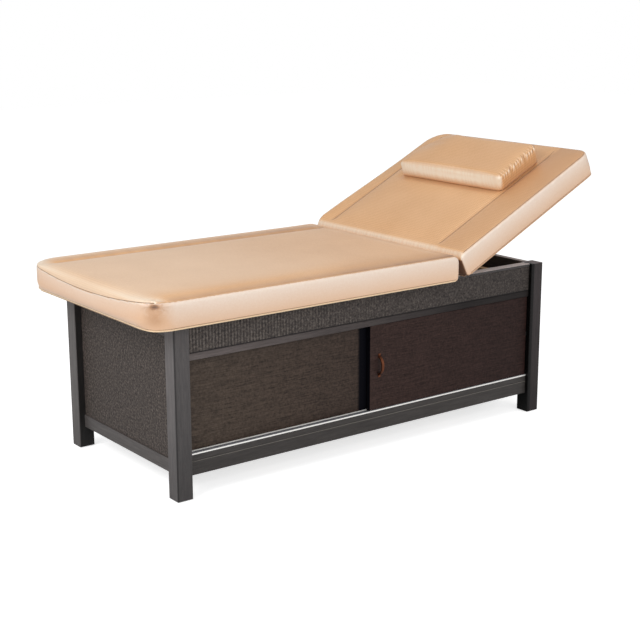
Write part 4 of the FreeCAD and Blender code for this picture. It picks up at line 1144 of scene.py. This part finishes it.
# ---- pillow ----
def pillow():
    low, high = local_box("pillow", RAISED)
    size = high - low
    front_share = PILLOW_FRONT_HEIGHT / size[2]
    low += [1 * MM, 3 * MM, 0.6 * MM]
    high -= [2 * MM, 3 * MM, 3 * MM]
    slab = Slab(low, high, PILLOW_CELL, 13 * MM, 8 * MM)
    for ends, radius in (((-1, -1), 20 * MM), ((-1, 1), 20 * MM), ((1, -1), 34 * MM), ((1, 1), 134 * MM)):
        slab.round_corner((0, 1), ends, radius)
    middle = (low + high) / 2

    def shares(co):
        """The way from the front to the back, 0 to 1, and from end to end, -1 to 1."""
        return (co[:, 0] - low[0]) / (high[0] - low[0]), (co[:, 1] - middle[1]) / (size[1] / 2)

    a, b = shares(slab.co)
    up = (slab.co[:, 2] - low[2]) / (high[2] - low[2])
    slab.co[:, 2] = low[2] + up * (high[2] - low[2]) * (front_share + (1 - front_share) * rise(a, 0.0, 0.8))
    slab.co[:, 1] -= rise(np.abs(b), 0.7, 0.3) * (up - 0.55) * PILLOW_END_LEAN
    slab.co[:, 2] -= rise(b, 0.45, 0.55) * rise(a, 0.25, 0.5) * up * PILLOW_BACK_DROP
    piece = slab.piece("pillow_upholstery")
    s = Surface(piece)
    held = np.maximum(1.0 * (s.z < low[2] + 2 * MM), 0.85 * ridge(s.rim, 5 * MM) * (np.abs(b) > 0.9))
    swell(piece, held, 3 * MM + 3 * MM * rise(s.out_z, 0.1, 0.5))
    divide(piece)
    s = Surface(piece)
    a, b = shares(s.co)
    on_top = rise(s.out_z, 0.1, 0.6)
    end_face = rise(np.abs(s.out_y), 0.15, 0.4)
    gathers = 0.55 * np.sin((s.x + 0.4 * s.rim) * math.tau / (11 * MM) + 2.2 * np.sin(s.x * 53))
    gathers += 0.55 * np.sin(s.x * math.tau / (17 * MM) + 1.1 + 1.9 * np.sin(s.x * 97))
    near_seam = ridge(s.rim - 6 * MM, 20 * MM) * rise(np.abs(b), 0.88, 0.08)
    s.push(gathers * near_seam * 1.5 * MM - ridge(s.rim - 2 * MM, 3.5 * MM) * end_face * 2.0 * MM)
    hump = ridge(a - 0.70, 0.40) * ridge(b - 0.42, 0.34) * on_top
    s.z += hump * 5 * MM
    # painted light: a glint of highlight across the front face, shade low on it and on the end faces,
    # highlights and shade on the pleats beside the end seams, and a little shade over the top
    front = rise(-s.out_x, 0.08, 0.6)
    glint = 1.05 + 0.10 * np.sin(s.y * 310 + 3 * np.sin(s.y * 61))
    crease = (0.12 * rise(s.rim, 50 * MM, 14 * MM) - glint * ridge(s.rim - 24 * MM, 29 * MM)) * front
    pleats = np.clip(gathers, -0.7, 1.0) * near_seam
    crease += (0.18 * end_face * rise(s.rim, 20 * MM, 16 * MM) - 0.85 * pleats + 0.08 * on_top) * (1 - front)
    s.finish(high[2], crease, np.full(len(s.co), -1.0))
    settle(piece, (RAISED, "pillow"), "pillow")


seat_cushion()
backrest_cushion()
pillow()
all_screws()


# ---- floor, light and camera ----
def studio_world():
    """White for the camera, dimmer for the light that falls on the bed."""
    world = bpy.data.worlds.new("studio")
    bpy.context.scene.world = world
    s = Nodes(world)
    path = s.node("LightPath").outputs
    seen = s.maths("MAXIMUM", path["Is Camera Ray"], path["Is Transmission Ray"])
    lit = s.node("Background", (0.98, 0.99, 1.0), WORLD_LEVEL)
    white = s.node("Background", (1.0, 1.0, 1.0))
    s.node("OutputWorld", s.value(0, "MixShader", seen, lit.outputs[0], white.outputs[0]))


def studio_floor():
    material = bpy.data.materials.new("pale_floor")
    s = Nodes(material)
    diffuse = s.value(0, "BsdfDiffuse", (0.80, 0.80, 0.80))
    glow = s.value(0, "Emission", None, Value(s, s.node("LightPath").outputs["Is Camera Ray"]) * FLOOR_GLOW)
    s.node("OutputMaterial", s.value(0, "AddShader", diffuse, glow))
    corners = [(x * FLOOR_REACH, y * FLOOR_REACH, 0) for x, y in ((-1, -1), (1, -1), (1, 1), (-1, 1))]
    new_piece("studio_floor", corners, [(0, 1, 2, 3)], material)


def softbox(name, place, target, size, watts):
    lamp = bpy.data.lights.new(name, "AREA")
    lamp.shape = "RECTANGLE"
    lamp.size, lamp.size_y = size
    lamp.energy = watts
    holder = add_object(name, lamp)
    holder.location = place
    holder.rotation_mode = "QUATERNION"
    holder.rotation_quaternion = (Vector(target) - Vector(place)).to_track_quat("-Z", "Y")


def camera():
    data = bpy.data.cameras.new("camera")
    data.sensor_width = 36.0
    data.lens = CAMERA_LENS
    data.clip_end = 100
    holder = add_object("camera", data)
    turn = (Matrix.Rotation(math.radians(CAMERA_AZIMUTH), 4, "Z")
            @ Matrix.Rotation(math.radians(90 - CAMERA_ELEVATION), 4, "X")
            @ Matrix.Rotation(math.radians(CAMERA_ROLL), 4, "Z"))
    holder.matrix_world = Matrix.Translation(CAMERA_PLACE) @ turn
    bpy.context.scene.camera = holder


bpy.context.scene.view_settings.view_transform = "Standard"
studio_world()
studio_floor()
softbox("left", (-3.3, -0.6, 2.5), (-0.1, 0, 0.5), (2.2, 1.8), 74)
softbox("front", (0.5, -3.7, 1.9), (0.0, 0, 0.4), (2.6, 1.8), 54)
softbox("over", (0.4, -0.2, 3.2), (0.2, 0, 0.5), (2.4, 2.0), 12)
camera()
